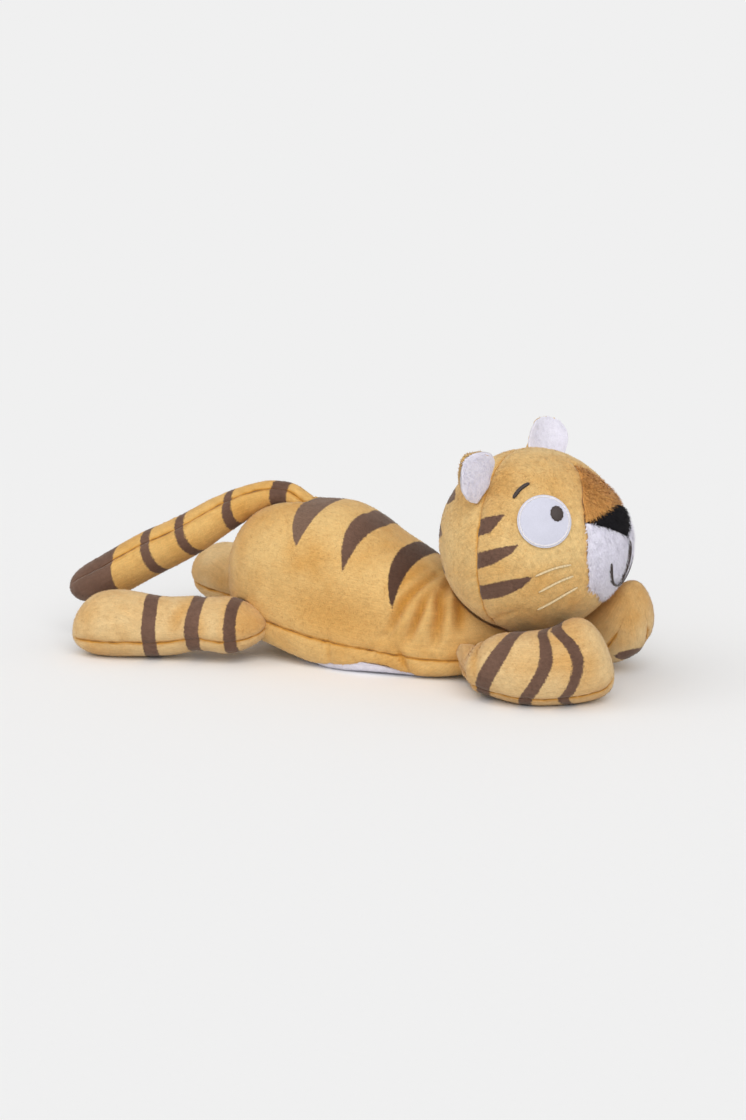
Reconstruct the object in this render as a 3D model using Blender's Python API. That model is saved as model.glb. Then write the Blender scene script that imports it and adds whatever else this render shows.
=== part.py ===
"""A lying plush tiger: sewn plush panels over stuffing, with sewn-on limbs, tail, head and ears."""

import bmesh
import bpy
import numpy as np
from math import acos, atan2, cos, pi, radians, sin, sqrt

# Cloth and stuffing. All lengths are in metres.
PLUSH_THICKNESS = 0.0015
SEAM_GAP = 0.0003
STUFFING_GAP = 0.0003
JOINT_GAP = 0.0003
ARM_HEAD_GAP = 0.0008
TAIL_GAP = 0.0006
REST_DEPTH = 0.0008
TRIM_LIFT = 0.0003
CUT_OVERRUN = 0.010
SOCKET_SIDES = 32
SOCKET_RINGS = 20

# Torso, from the rump to the chest, lying along X.
RUMP_X = -0.087
TORSO_LENGTH = 0.197
TORSO_HEIGHT = 0.0975
TORSO_WIDTH = 0.086
TORSO_ROUND_POWER = 4.4
TORSO_SECTION_POWER = 2.2
TORSO_UNDER_POWER = 6.0
TORSO_SIDES = 22
TORSO_RINGS = 13
TORSO_SEAM_SIDES = 4
# Share of the length, then height of the underside and half height as shares of the height, and
# half width as a share of the width.
TORSO_PROFILE_SHARES = (
    (0.00, 0.000, 0.490, 0.46),
    (0.20, 0.068, 0.467, 0.49),
    (0.30, 0.040, 0.477, 0.50),
    (0.41, 0.000, 0.495, 0.50),
    (0.58, 0.000, 0.407, 0.48),
    (0.72, 0.000, 0.342, 0.44),
    (0.86, 0.000, 0.285, 0.38),
    (1.00, 0.000, 0.220, 0.28),
)
BELLY_X = 0.022
BELLY_LENGTH = 0.112
BELLY_WIDTH = 0.072
BELLY_SIDES = 24

# Head, a ball whose face looks along X and is tipped up.
HEAD_X = 0.116
HEAD_Z = 0.083
HEAD_RADIUS = 0.054
FACE_TIP_ANGLE = radians(15)
MUZZLE_SWELL = 0.006
MUZZLE_SWELL_ANGLE = radians(3)
MUZZLE_SWELL_SPREAD = radians(50)
CROWN_SEAM_BACK = 0.0117
HEAD_UPPER_COLUMNS = 6
HEAD_LOWER_COLUMNS = 8
HEAD_NOSE_ROWS = 2
HEAD_STRIP_ROWS = 2
HEAD_FACE_ROWS = 4
HEAD_BACK_ROWS = 5
# The middle strip of the face on a map of arc lengths from the face's middle: across, then up.
STRIP_TOP = 0.0434
STRIP_SHOULDER_ACROSS = 0.0280
STRIP_SHOULDER_UP = 0.0178
NOSE_CORNER_ACROSS = 0.0316
NOSE_CORNER_UP = 0.0072
STRIP_CHEEK_ACROSS = 0.0333
STRIP_CHEEK_DOWN = 0.0130
STRIP_JAW_ACROSS = 0.0266
STRIP_JAW_DOWN = 0.0320
STRIP_BOTTOM = 0.0480
NOSE_TOP = 0.0110
NOSE_TIP = 0.0072

# Eyes, brows, whiskers and mouth, sewn or stitched on the head.
EYE_FORWARD = 0.0254
EYE_OUT = 0.0424
EYE_UP = 0.0218
EYE_RADIUS = 0.0155
EYE_THICKNESS = 0.0010
EYE_SIDES = 20
PUPIL_RADIUS = 0.0043
PUPIL_FORWARD_SHARE = 0.47
PUPIL_UP_SHARE = 0.26
PUPIL_SIDES = 12
THREAD_THICKNESS = 0.0006
THREAD_STEP_SHARE = 0.01
BROW_LENGTH = 0.0125
BROW_WIDTH = 0.0025
BROW_ABOVE_EYE = 0.0060
BROW_SLANT = radians(28)
BROW_BACK_SHARE = 0.55
BROW_STEPS = 4
WHISKER_WIDTH = 0.0011
WHISKER_STEPS = 5
WHISKER_INNER_ANGLE = radians(48)
WHISKER_OUTER_ANGLE = radians(70)
WHISKER_TURNS = (radians(111.5), radians(120.5), radians(132))
MOUTH_WIDTH = 0.0014
MOUTH_LOW = 0.0340
MOUTH_CORNER_ACROSS = 0.0156
MOUTH_CORNER_DOWN = 0.0183
MOUTH_LINE_STEPS = 5
MOUTH_CURVE_STEPS = 12

# Ears, two plush petals each.
EAR_HEIGHT = 0.033
EAR_WIDTH = 0.028
EAR_THICKNESS = 0.0014
EAR_CUP = 0.0045
EAR_LEAN = radians(8)
EAR_TURN = radians(46)
EAR_FACING_RIGHT = radians(25)
EAR_FACING_LEFT = radians(-35)
EAR_BASE_GAP = 0.0008
EAR_COLUMNS = 6
# Share of the height, then half width as a share of the width.
EAR_OUTLINE_SHARES = (
    (0.00, 0.36),
    (0.27, 0.47),
    (0.52, 0.50),
    (0.74, 0.45),
    (0.88, 0.35),
    (0.97, 0.21),
    (1.00, 0.09),
)

# Arms, lying forward from the shoulders with the paws turned in under the chin.
ARM_PIVOT_X = 0.097
ARM_PIVOT_Y = 0.043
ARM_REACH = 0.085
ARM_SPREAD = 0.010
ARM_SWING_RIGHT = 0.0
ARM_SWING_LEFT = radians(-1)
ARM_LIFT = 0.0
ARM_THICKNESS = 0.050
ARM_ROUND_POWER = 7.5
ARM_SEAM_SIDES = 1
# Share of the reach, then forward and out as shares of the reach and the spread, then height of
# the underside, half width and half height as shares of the thickness.
ARM_PROFILE_SHARES = (
    (0.00, 0.00, 0.0, 0.08, 0.400, 0.400),
    (0.22, 0.22, 0.4, 0.05, 0.435, 0.375),
    (0.45, 0.45, 0.4, 0.00, 0.475, 0.415),
    (0.70, 0.68, -0.4, 0.00, 0.490, 0.490),
    (1.00, 0.93, -2.1, 0.00, 0.490, 0.545),
)

# Legs, lying straight back and spread, with a narrow waist behind the hip.
LEG_PIVOT_X = -0.066
LEG_PIVOT_Y = 0.045
LEG_REACH = 0.092
LEG_SPREAD = 0.027
LEG_SWING_RIGHT = 0.0
LEG_SWING_LEFT = radians(2.5)
LEG_LIFT_RIGHT = 0.0
LEG_LIFT_LEFT = 0.0060
LEG_THICKNESS = 0.043
LEG_ROUND_POWER = 8.0
LEG_SEAM_SIDES = 1
LEG_PROFILE_SHARES = (
    (0.00, 0.00, 0.00, 0.06, 0.470, 0.470),
    (0.18, 0.18, 0.18, 0.13, 0.440, 0.400),
    (0.38, 0.38, 0.38, 0.06, 0.430, 0.415),
    (0.72, 0.72, 0.72, 0.00, 0.510, 0.490),
    (1.00, 1.00, 1.00, 0.00, 0.500, 0.490),
)

LIMB_SIDES = 12
LIMB_RINGS = 8
ROOT_RINGS = 3
RING_CROWDING = 1.6
HEADING_STEP_SHARE = 0.001

# Tail, arching off the rump and lying down beside the right foot.
TAIL_PIVOT_X = -0.0345
TAIL_PIVOT_Z = 0.0905
TAIL_REACH = 0.149
TAIL_DROP = 0.0595
TAIL_SWING = 0.037
TAIL_THICKNESS = 0.027
TAIL_ROUND_POWER = 16
TAIL_SIDES = 10
TAIL_RINGS = 12
# Share of the reach, then back, down and across as shares of the reach, the drop and the swing,
# and half the thickness as a share of it.
TAIL_PROFILE_SHARES = (
    (0.00, 0.00, 0.00, 0.00, 0.278),
    (0.07, 0.07, -0.10, 0.02, 0.280),
    (0.14, 0.14, -0.11, 0.08, 0.300),
    (0.24, 0.24, -0.03, 0.16, 0.360),
    (0.33, 0.33, 0.09, 0.25, 0.430),
    (0.50, 0.50, 0.37, 0.46, 0.505),
    (0.66, 0.66, 0.58, 0.66, 0.520),
    (0.82, 0.82, 0.81, 0.84, 0.520),
    (1.00, 1.00, 1.00, 1.00, 0.490),
)
TAIL_SEAM_SIDES = 3

GOLD = (0.72, 0.45, 0.15)
WHITE = (0.85, 0.84, 0.88)
BROWN = (0.45, 0.22, 0.07)
BLACK = (0.02, 0.02, 0.025)
DARK_THREAD = (0.06, 0.035, 0.03)
PALE_THREAD = (0.75, 0.68, 0.50)
FILLING = (0.90, 0.90, 0.88)
UP = np.array((0.0, 0.0, 1.0))


def unit(vector):
    return vector / np.linalg.norm(vector)


def read_shares(rows, at):
    """The values of a table of shares at one share, on a smooth curve through its rows."""
    table = np.array(rows, dtype=float)
    keys, values = table[:, 0], table[:, 1:]
    slopes = np.gradient(values, keys, axis=0)
    k = int(np.clip(np.searchsorted(keys, at) - 1, 0, len(keys) - 2))
    span = keys[k + 1] - keys[k]
    t = (at - keys[k]) / span
    return (
        values[k] * (1 + 2 * t) * (1 - t) ** 2
        + slopes[k] * span * t * (1 - t) ** 2
        + values[k + 1] * t * t * (3 - 2 * t)
        + slopes[k + 1] * span * t * t * (t - 1)
    )


class Form:
    """A closed surface of points and labelled faces, from which panels and stuffing are made."""

    def __init__(self, points, faces):
        self.points = np.array(points)
        self.faces = faces
        self.slit_points = set()
        if self.volume() < 0:
            self.faces = {label: face[::-1] for label, face in faces.items()}
        self.normals = self.point_normals()

    def volume(self):
        total = 0.0
        for face in self.faces.values():
            for a, b in zip(face[1:], face[2:]):
                total += self.points[face[0]] @ np.cross(self.points[a], self.points[b])
        return total

    def point_normals(self):
        normals = np.zeros_like(self.points)
        for face in self.faces.values():
            for a, b in zip(face[1:], face[2:]):
                origin = self.points[face[0]]
                area = np.cross(self.points[a] - origin, self.points[b] - origin)
                for i in (face[0], a, b):
                    normals[i] += area
        return normals / np.linalg.norm(normals, axis=1)[:, None]

    def inset(self, depth):
        return self.points - self.normals * depth


def cloth_material(name, color):
    material = bpy.data.materials.new(name)
    material.use_nodes = True
    shader = material.node_tree.nodes["Principled BSDF"]
    shader.inputs["Base Color"].default_value = (*color, 1)
    shader.inputs["Roughness"].default_value = 0.9
    shader.inputs["Metallic"].default_value = 0
    return material


def new_object(name, points, faces, color):
    """One piece as a mesh object with a material of its own."""
    mesh = bpy.data.meshes.new(name)
    mesh.from_pydata([tuple(p) for p in points], [], faces)
    mesh.validate()
    shell = bmesh.new()
    shell.from_mesh(mesh)
    bmesh.ops.recalc_face_normals(shell, faces=shell.faces)
    bmesh.ops.triangulate(shell, faces=[f for f in shell.faces if len(f.verts) > 3])
    shell.to_mesh(mesh)
    shell.free()
    mesh.shade_smooth()
    mesh.materials.append(cloth_material(name, color))
    piece = bpy.data.objects.new(name, mesh)
    bpy.context.collection.objects.link(piece)
    return piece


def panel(name, form, keep, color, slit=None):
    """A plush panel of the labelled faces that keep accepts, thickened inward, with a gap at its seams.

    A slit, the number of a column of faces, also opens the panel along that column's start.
    """
    faces = []
    for label, face in form.faces.items():
        if keep(*label):
            beyond = slit is not None and label[1] >= slit
            faces.append(tuple((i, beyond and i in form.slit_points) for i in face))
    edges = {(a, b) for face in faces for a, b in zip(face, face[1:] + face[:1])}
    rim = [(a, b) for a, b in edges if (b, a) not in edges]
    rim.sort()
    rim_corners = {corner for edge in rim for corner in edge}
    pull = {}
    for face in faces:
        centre = np.mean([form.points[i] for i, _ in face], axis=0)
        for corner in face:
            pull[corner] = pull.get(corner, 0) + centre - form.points[corner[0]]
    number = {corner: k for k, corner in enumerate(sorted(pull))}
    points = []
    for layer in (form.points, form.inset(PLUSH_THICKNESS)):
        for corner in number:
            normal = form.normals[corner[0]]
            flat = pull[corner] - normal * (pull[corner] @ normal)
            step = unit(flat) * SEAM_GAP / 2 if corner in rim_corners else 0
            points.append(layer[corner[0]] + step)
    count = len(number)
    solid = [tuple(number[corner] for corner in face) for face in faces]
    solid += [tuple(i + count for i in face[::-1]) for face in solid]
    solid += [(number[b], number[a], number[a] + count, number[b] + count) for a, b in rim]
    return new_object(name, points, solid, color)


def stuffing(name, form):
    points = form.inset(PLUSH_THICKNESS + STUFFING_GAP)
    return new_object(name, points, list(form.faces.values()), FILLING)


def tube_faces(rings, sides):
    """Faces of a closed tube with a pole at each end, labelled by ring and side."""
    last = 1 + (rings - 1) * sides

    def index(ring, side):
        if ring == 0:
            return 0
        if ring == rings:
            return last
        return 1 + (ring - 1) * sides + side % sides

    faces = {}
    for ring in range(rings):
        for side in range(sides):
            corners = (
                index(ring, side),
                index(ring, side + 1),
                index(ring + 1, side + 1),
                index(ring + 1, side),
            )
            faces[(ring, side)] = tuple(dict.fromkeys(corners))
    return faces


def press_flat(points):
    """Press the lowest part of a form flat on the surface it lies on."""
    for point in points:
        if point[2] < 0:
            point[2] = 0.0
    return points


def side_angle(side, sides):
    """Angle of a side's corner, counted so that a flat side is lowest."""
    return -pi / 2 + (side + 0.5) * 2 * pi / sides


def bent(value, power):
    return np.sign(value) * abs(value) ** (2 / power)


def torso_form():
    points = []
    for ring in range(TORSO_RINGS + 1):
        share = (1 - cos(pi * ring / TORSO_RINGS)) / 2
        under, half_height, half_width = read_shares(TORSO_PROFILE_SHARES, share)
        swell = sqrt(max(0.0, 1 - abs(2 * share - 1) ** TORSO_ROUND_POWER))
        x = RUMP_X + TORSO_LENGTH * share
        z = (under + half_height) * TORSO_HEIGHT
        if ring in (0, TORSO_RINGS):
            points.append(np.array((x, 0.0, z)))
            continue
        for side in range(TORSO_SIDES):
            angle = side_angle(side, TORSO_SIDES)
            power = TORSO_SECTION_POWER if sin(angle) > 0 else TORSO_UNDER_POWER
            across = bent(cos(angle), power) * half_width * TORSO_WIDTH * swell
            rise = bent(sin(angle), power) * half_height * TORSO_HEIGHT * swell
            points.append(np.array((x, across, z + rise - REST_DEPTH)))
    return Form(press_flat(points), tube_faces(TORSO_RINGS, TORSO_SIDES))


def swept_form(section, rings, sides, power):
    """A form from a ball about its pivot out along a spine.

    section gives the spine's point, the half width and the half height at a share of the reach.
    """
    step = HEADING_STEP_SHARE
    pivot, root_radius, _ = section(0.0)
    points = []
    heading = unit(section(step)[0] - pivot)
    for ring in range(ROOT_RINGS + rings + 1):
        if ring <= ROOT_RINGS:
            turn = pi / 2 * ring / ROOT_RINGS
            centre = pivot - heading * root_radius * cos(turn)
            half_width = half_height = root_radius * sin(turn)
        else:
            share = 1 - (1 - (ring - ROOT_RINGS) / rings) ** RING_CROWDING
            swell = sqrt(max(0.0, 1 - share**power))
            centre, half_width, half_height = section(share)
            half_width, half_height = half_width * swell, half_height * swell
            heading = unit(section(min(1.0, share + step))[0] - section(share - step)[0])
        side_way = unit(np.cross(UP, heading))
        top_way = np.cross(heading, side_way)
        if ring in (0, ROOT_RINGS + rings):
            points.append(centre)
            continue
        for side in range(sides):
            angle = side_angle(side, sides)
            spoke = side_way * cos(angle) * half_width + top_way * sin(angle) * half_height
            points.append(centre + spoke)
    return Form(press_flat(points), tube_faces(ROOT_RINGS + rings, sides))


def limb_section(start, way, hand, reach, spread, swing, lift, thickness, shares):
    """A limb's spine and half sizes.

    way is 1 for a limb that runs forward and -1 for one that runs back, hand 1 on the left and -1
    on the right, swing turns the limb outward about its start, and lift raises its far end.
    """

    def section(share):
        along, out, under, half_width, half_height = read_shares(shares, share)
        run, off = along * reach, out * spread
        turned_run = run * cos(swing) - off * sin(swing)
        turned_off = run * sin(swing) + off * cos(swing)
        centre = np.array(
            (
                start[0] + way * turned_run,
                hand * (start[1] + turned_off),
                (under + half_height) * thickness + along * lift - REST_DEPTH,
            )
        )
        return centre, half_width * thickness, half_height * thickness

    return section


def tail_section(share):
    back, drop, across, half = read_shares(TAIL_PROFILE_SHARES, share)
    centre = np.array(
        (
            TAIL_PIVOT_X - back * TAIL_REACH,
            -across * TAIL_SWING,
            TAIL_PIVOT_Z - drop * TAIL_DROP,
        )
    )
    return centre, half * TAIL_THICKNESS, half * TAIL_THICKNESS


def cut_by(piece, cutters):
    for cutter in cutters:
        cut = piece.modifiers.new("cut", "BOOLEAN")
        cut.operation = "DIFFERENCE"
        cut.solver = "EXACT"
        cut.object = cutter


def new_cutter(name, shape):
    """A guide for Boolean cuts from a bmesh, which is freed."""
    bmesh.ops.recalc_face_normals(shape, faces=shape.faces)
    mesh = bpy.data.meshes.new(name)
    shape.to_mesh(mesh)
    shape.free()
    cutter = bpy.data.objects.new(name, mesh)
    cutter.hide_render = True
    cutter.display_type = "WIRE"
    bpy.context.collection.objects.link(cutter)
    return cutter


def ball_cutter(name, centre, radius, gap=JOINT_GAP):
    """A ball that clears a joint's ball by the gap, also at the middle of its flat faces."""
    flats = cos(pi / SOCKET_SIDES) * cos(pi / (2 * SOCKET_RINGS))
    ball = bmesh.new()
    bmesh.ops.create_uvsphere(
        ball,
        u_segments=SOCKET_SIDES,
        v_segments=SOCKET_RINGS,
        radius=(radius + gap) / flats,
    )
    cutter = new_cutter(name, ball)
    cutter.location = centre
    return cutter


def form_cutter(name, form):
    """A form that has grown by the tail's gap."""
    grown = bmesh.new()
    corners = [grown.verts.new(tuple(point)) for point in form.inset(-TAIL_GAP)]
    for face in form.faces.values():
        grown.faces.new([corners[i] for i in face])
    return new_cutter(name, grown)


HEAD_CENTRE = np.array((HEAD_X, 0.0, HEAD_Z))
FACE_AXIS = np.array((cos(FACE_TIP_ANGLE), 0.0, sin(FACE_TIP_ANGLE)))
FACE_UP = np.array((-sin(FACE_TIP_ANGLE), 0.0, cos(FACE_TIP_ANGLE)))
FACE_LEFT = np.array((0.0, 1.0, 0.0))
MUZZLE_AXIS = np.array((cos(MUZZLE_SWELL_ANGLE), 0.0, sin(MUZZLE_SWELL_ANGLE)))


def head_point(direction, lift=0.0):
    """The head's surface in one direction from its middle."""
    off_muzzle = acos(np.clip(direction @ MUZZLE_AXIS, -1, 1))
    swell = 0.0
    if off_muzzle < MUZZLE_SWELL_SPREAD:
        swell = MUZZLE_SWELL * (1 + cos(pi * off_muzzle / MUZZLE_SWELL_SPREAD)) / 2
    return HEAD_CENTRE + direction * (HEAD_RADIUS + swell + lift)


def face_direction(tilt, turn):
    """A direction tilted away from the face's middle, turned from straight up towards the left."""
    return (
        FACE_AXIS * cos(tilt)
        + FACE_UP * sin(tilt) * cos(turn)
        + FACE_LEFT * sin(tilt) * sin(turn)
    )


def map_direction(across, up):
    """A direction from arc lengths on the face: across to the left and up from its middle."""
    return face_direction(sqrt(across**2 + up**2) / HEAD_RADIUS, atan2(across, up))


def outline_tilt(corners, turn):
    """How far from the middle a closed outline of corners lies, in one turn of direction."""
    way = np.array((sin(turn), cos(turn)))
    for (ax, ay), (bx, by) in zip(corners, corners[1:]):
        start, end = np.array((ax, ay)), np.array((bx, by))
        run = end - start
        cross = way[0] * run[1] - way[1] * run[0]
        if abs(cross) < 1e-12:
            continue
        along = (start[0] * way[1] - start[1] * way[0]) / cross
        reach = (start[0] * run[1] - start[1] * run[0]) / cross
        if -1e-6 <= along <= 1 + 1e-6 and reach > 0:
            return reach / HEAD_RADIUS
    return 0.0


STRIP_CORNERS = (
    (0.0, STRIP_TOP),
    (STRIP_SHOULDER_ACROSS, STRIP_SHOULDER_UP),
    (NOSE_CORNER_ACROSS, NOSE_CORNER_UP),
    (STRIP_CHEEK_ACROSS, -STRIP_CHEEK_DOWN),
    (STRIP_JAW_ACROSS, -STRIP_JAW_DOWN),
    (0.0, -STRIP_BOTTOM),
)
NOSE_CORNERS = (
    (0.0, NOSE_TOP),
    (NOSE_CORNER_ACROSS, NOSE_CORNER_UP),
    (0.0, -NOSE_TIP),
)


def crown_seam_tilt(turn):
    """How far from the face's middle the seam across the crown lies, an upright plane."""
    level = -CROWN_SEAM_BACK / HEAD_RADIUS
    a, b = FACE_AXIS[0], FACE_UP[0] * cos(turn)
    return atan2(b, a) + acos(level / sqrt(a * a + b * b))


def head_form():
    """The head's surface, whose rows follow the nose, the middle strip and the crown seam."""
    corner_turn = atan2(NOSE_CORNER_ACROSS, NOSE_CORNER_UP)
    upper = [corner_turn * k / HEAD_UPPER_COLUMNS for k in range(HEAD_UPPER_COLUMNS)]
    lower = [
        corner_turn + (pi - corner_turn) * k / HEAD_LOWER_COLUMNS
        for k in range(HEAD_LOWER_COLUMNS + 1)
    ]
    half = upper + lower
    turns = half + [-turn for turn in half[-2:0:-1]]
    columns = len(turns)
    steps = (HEAD_NOSE_ROWS, HEAD_STRIP_ROWS, HEAD_FACE_ROWS, HEAD_BACK_ROWS)
    tilts = []
    for turn in turns:
        marks = (
            0.0,
            outline_tilt(NOSE_CORNERS, abs(turn)),
            outline_tilt(STRIP_CORNERS, abs(turn)),
            crown_seam_tilt(turn),
            pi,
        )
        column = [0.0]
        for start, end, count in zip(marks, marks[1:], steps):
            column += [start + (end - start) * k / count for k in range(1, count + 1)]
        tilts.append(column)
    rings = sum(steps)
    points = [head_point(FACE_AXIS)]
    for ring in range(1, rings):
        points += [head_point(face_direction(tilts[c][ring], turns[c])) for c in range(columns)]
    points.append(head_point(-FACE_AXIS))

    # At the nose's corners the nose meets the strip's edge, so those rows share one point.
    shared = {}
    for column in (HEAD_UPPER_COLUMNS, columns - HEAD_UPPER_COLUMNS):
        corner = 1 + (HEAD_NOSE_ROWS - 1) * columns + column
        for ring in range(1, HEAD_STRIP_ROWS + 1):
            shared[corner + ring * columns] = corner
    faces = {}
    for label, face in tube_faces(rings, columns).items():
        corners = tuple(dict.fromkeys(shared.get(i, i) for i in face))
        if len(corners) > 2:
            faces[label] = corners
    number = {i: k for k, i in enumerate(sorted({i for face in faces.values() for i in face}))}
    faces = {label: tuple(number[i] for i in face) for label, face in faces.items()}
    form = Form([points[i] for i in number], faces)
    first = HEAD_NOSE_ROWS + HEAD_STRIP_ROWS
    for ring in range(first, first + HEAD_FACE_ROWS + 1):
        form.slit_points.add(number[1 + (ring - 1) * columns + columns // 2])
    return form, columns


def head_pieces():
    form, columns = head_form()
    strip_start = HEAD_NOSE_ROWS
    face_start = strip_start + HEAD_STRIP_ROWS
    back_start = face_start + HEAD_FACE_ROWS
    chin = columns // 2

    def in_bridge(ring, column):
        above = column < HEAD_UPPER_COLUMNS or column >= columns - HEAD_UPPER_COLUMNS
        return strip_start <= ring < face_start and above

    def in_muzzle(ring, column):
        return strip_start <= ring < face_start and not in_bridge(ring, column)

    return [
        panel("nose", form, lambda ring, column: ring < strip_start, BLACK),
        panel("nose_bridge", form, in_bridge, BROWN),
        panel("muzzle", form, in_muzzle, WHITE),
        panel(
            "face_panel",
            form,
            lambda ring, column: face_start <= ring < back_start,
            GOLD,
            slit=chin,
        ),
        panel(
            "head_back_left",
            form,
            lambda ring, column: ring >= back_start and column < chin,
            GOLD,
        ),
        panel(
            "head_back_right",
            form,
            lambda ring, column: ring >= back_start and column >= chin,
            GOLD,
        ),
        stuffing("head_stuffing", form),
    ]


def grid_faces(rows, wide):
    starts = [r * wide + c for r in range(rows - 1) for c in range(wide - 1)]
    return [(a, a + 1, a + wide + 1, a + wide) for a in starts]


def closed_sheet(name, points, faces, count, color):
    """A sheet closed at its rim: faces over the first count points, and over the rest behind them."""
    edges = {(a, b) for face in faces for a, b in zip(face, face[1:] + face[:1])}
    rim = sorted((a, b) for a, b in edges if (b, a) not in edges)
    solid = faces + [tuple(i + count for i in face[::-1]) for face in faces]
    solid += [(b, a, a + count, b + count) for a, b in rim]
    return new_object(name, points, solid, color)


def layered(name, rows, lift, thickness, color):
    """A closed sheet laid over the head: rows of directions, as a grid, between two lifts."""
    points = [head_point(way, lift) for row in rows for way in row]
    points += [head_point(way, lift + thickness) for row in rows for way in row]
    wide = len(rows[0])
    return closed_sheet(name, points, grid_faces(len(rows), wide), len(rows) * wide, color)


def ribbon(name, way_at, steps, width, color):
    """A stitched line over the head: way_at gives its direction at a share of its length."""
    rows = []
    for k in range(steps + 1):
        share = k / steps
        way = way_at(share)
        before, after = max(0.0, share - THREAD_STEP_SHARE), min(1.0, share + THREAD_STEP_SHARE)
        run = way_at(after) - way_at(before)
        side = unit(np.cross(way, run)) * width / 2 / HEAD_RADIUS
        rows.append((unit(way - side), way, unit(way + side)))
    return layered(name, rows, TRIM_LIFT, THREAD_THICKNESS, color)


def disc(name, centre_way, radius, sides, lift, thickness, color):
    """A round patch laid over the head."""
    across = unit(np.cross(UP, centre_way))
    rise = np.cross(centre_way, across)
    spokes = [
        across * cos(2 * pi * k / sides) + rise * sin(2 * pi * k / sides) for k in range(sides)
    ]
    points = []
    for height in (lift, lift + thickness):
        points.append(head_point(centre_way, height))
        for share in (0.5, 1.0):
            tilt = share * radius / HEAD_RADIUS
            ways = [centre_way * cos(tilt) + spoke * sin(tilt) for spoke in spokes]
            points += [head_point(way, height) for way in ways]
    count = 1 + 2 * sides
    faces = []
    for k in range(sides):
        after = (k + 1) % sides
        faces.append((0, 1 + k, 1 + after))
        faces.append((1 + k, 1 + sides + k, 1 + sides + after, 1 + after))
    return closed_sheet(name, points, faces, count, color)


def between(start, end, share):
    return unit(start * (1 - share) + end * share)


def side_name(hand):
    return "left" if hand > 0 else "right"


def eye_pieces(hand):
    """One eye, its pupil and its brow; hand is 1 on the left and -1 on the right."""
    side = side_name(hand)
    eye_way = unit(np.array((EYE_FORWARD, hand * EYE_OUT, EYE_UP)))
    eye = disc(f"eye_{side}", eye_way, EYE_RADIUS, EYE_SIDES, TRIM_LIFT, EYE_THICKNESS, WHITE)
    forward = unit(FACE_AXIS - eye_way * (FACE_AXIS @ eye_way))
    rise = unit(UP - eye_way * eye_way[2] - forward * (UP @ forward))
    offset = forward * PUPIL_FORWARD_SHARE + rise * PUPIL_UP_SHARE
    pupil = disc(
        f"pupil_{side}",
        unit(eye_way + offset * EYE_RADIUS / HEAD_RADIUS),
        PUPIL_RADIUS,
        PUPIL_SIDES,
        TRIM_LIFT + EYE_THICKNESS + TRIM_LIFT,
        THREAD_THICKNESS,
        BLACK,
    )
    above = (EYE_RADIUS + BROW_ABOVE_EYE) / HEAD_RADIUS
    brow_way = unit(eye_way + rise * above - forward * above * BROW_BACK_SHARE)
    along = forward * cos(BROW_SLANT) + rise * sin(BROW_SLANT)
    reach = along * BROW_LENGTH / 2 / HEAD_RADIUS
    brow = ribbon(
        f"brow_{side}",
        lambda share: between(unit(brow_way - reach), unit(brow_way + reach), share),
        BROW_STEPS,
        BROW_WIDTH,
        DARK_THREAD,
    )
    return [eye, pupil, brow]


def whisker_pieces(hand):
    pieces = []
    for k, turn in enumerate(WHISKER_TURNS, start=1):
        pieces.append(
            ribbon(
                f"whisker_{side_name(hand)}_{k}",
                lambda share, turn=turn: face_direction(
                    WHISKER_INNER_ANGLE + (WHISKER_OUTER_ANGLE - WHISKER_INNER_ANGLE) * share,
                    hand * turn,
                ),
                WHISKER_STEPS,
                WHISKER_WIDTH,
                PALE_THREAD,
            )
        )
    return pieces


def mouth_pieces():
    """The upright line under the nose and the curve that it meets."""

    def line_way(share):
        start = NOSE_TIP + MOUTH_WIDTH
        end = MOUTH_LOW - MOUTH_WIDTH - TRIM_LIFT
        return map_direction(0.0, -start - (end - start) * share)

    def curve_way(share):
        turn = pi * (share - 0.5)
        drop = MOUTH_LOW - MOUTH_CORNER_DOWN
        return map_direction(
            MOUTH_CORNER_ACROSS * sin(turn), -MOUTH_CORNER_DOWN - drop * cos(turn)
        )

    return [
        ribbon("mouth_line", line_way, MOUTH_LINE_STEPS, MOUTH_WIDTH, DARK_THREAD),
        ribbon("mouth_curve", curve_way, MOUTH_CURVE_STEPS, MOUTH_WIDTH, DARK_THREAD),
    ]


def seam_panels(form, sides, seam_sides, upper_name, under_name):
    """A form's upper and under panels, parted by seams the same number of sides up from below."""

    def in_under(ring, side):
        return side < seam_sides or side >= sides - 1 - seam_sides

    upper = panel(upper_name, form, lambda ring, side: not in_under(ring, side), GOLD)
    under = panel(under_name, form, in_under, GOLD)
    return [upper, under]


def belly_cutter(name, margin):
    """An upright oval column through the underside, as wide as the belly panel and a margin."""
    oval = bmesh.new()
    corners = []
    for z in (-CUT_OVERRUN, TORSO_HEIGHT / 2):
        for k in range(BELLY_SIDES):
            turn = 2 * pi * (k + 0.5) / BELLY_SIDES
            x = BELLY_X + (BELLY_LENGTH / 2 + margin) * cos(turn)
            y = (BELLY_WIDTH / 2 + margin) * sin(turn)
            corners.append(oval.verts.new((x, y, z)))
    low, high = corners[:BELLY_SIDES], corners[BELLY_SIDES:]
    oval.faces.new(low[::-1])
    oval.faces.new(high)
    for k in range(BELLY_SIDES):
        after = (k + 1) % BELLY_SIDES
        oval.faces.new((low[k], low[after], high[after], high[k]))
    return new_cutter(name, oval)


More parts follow.
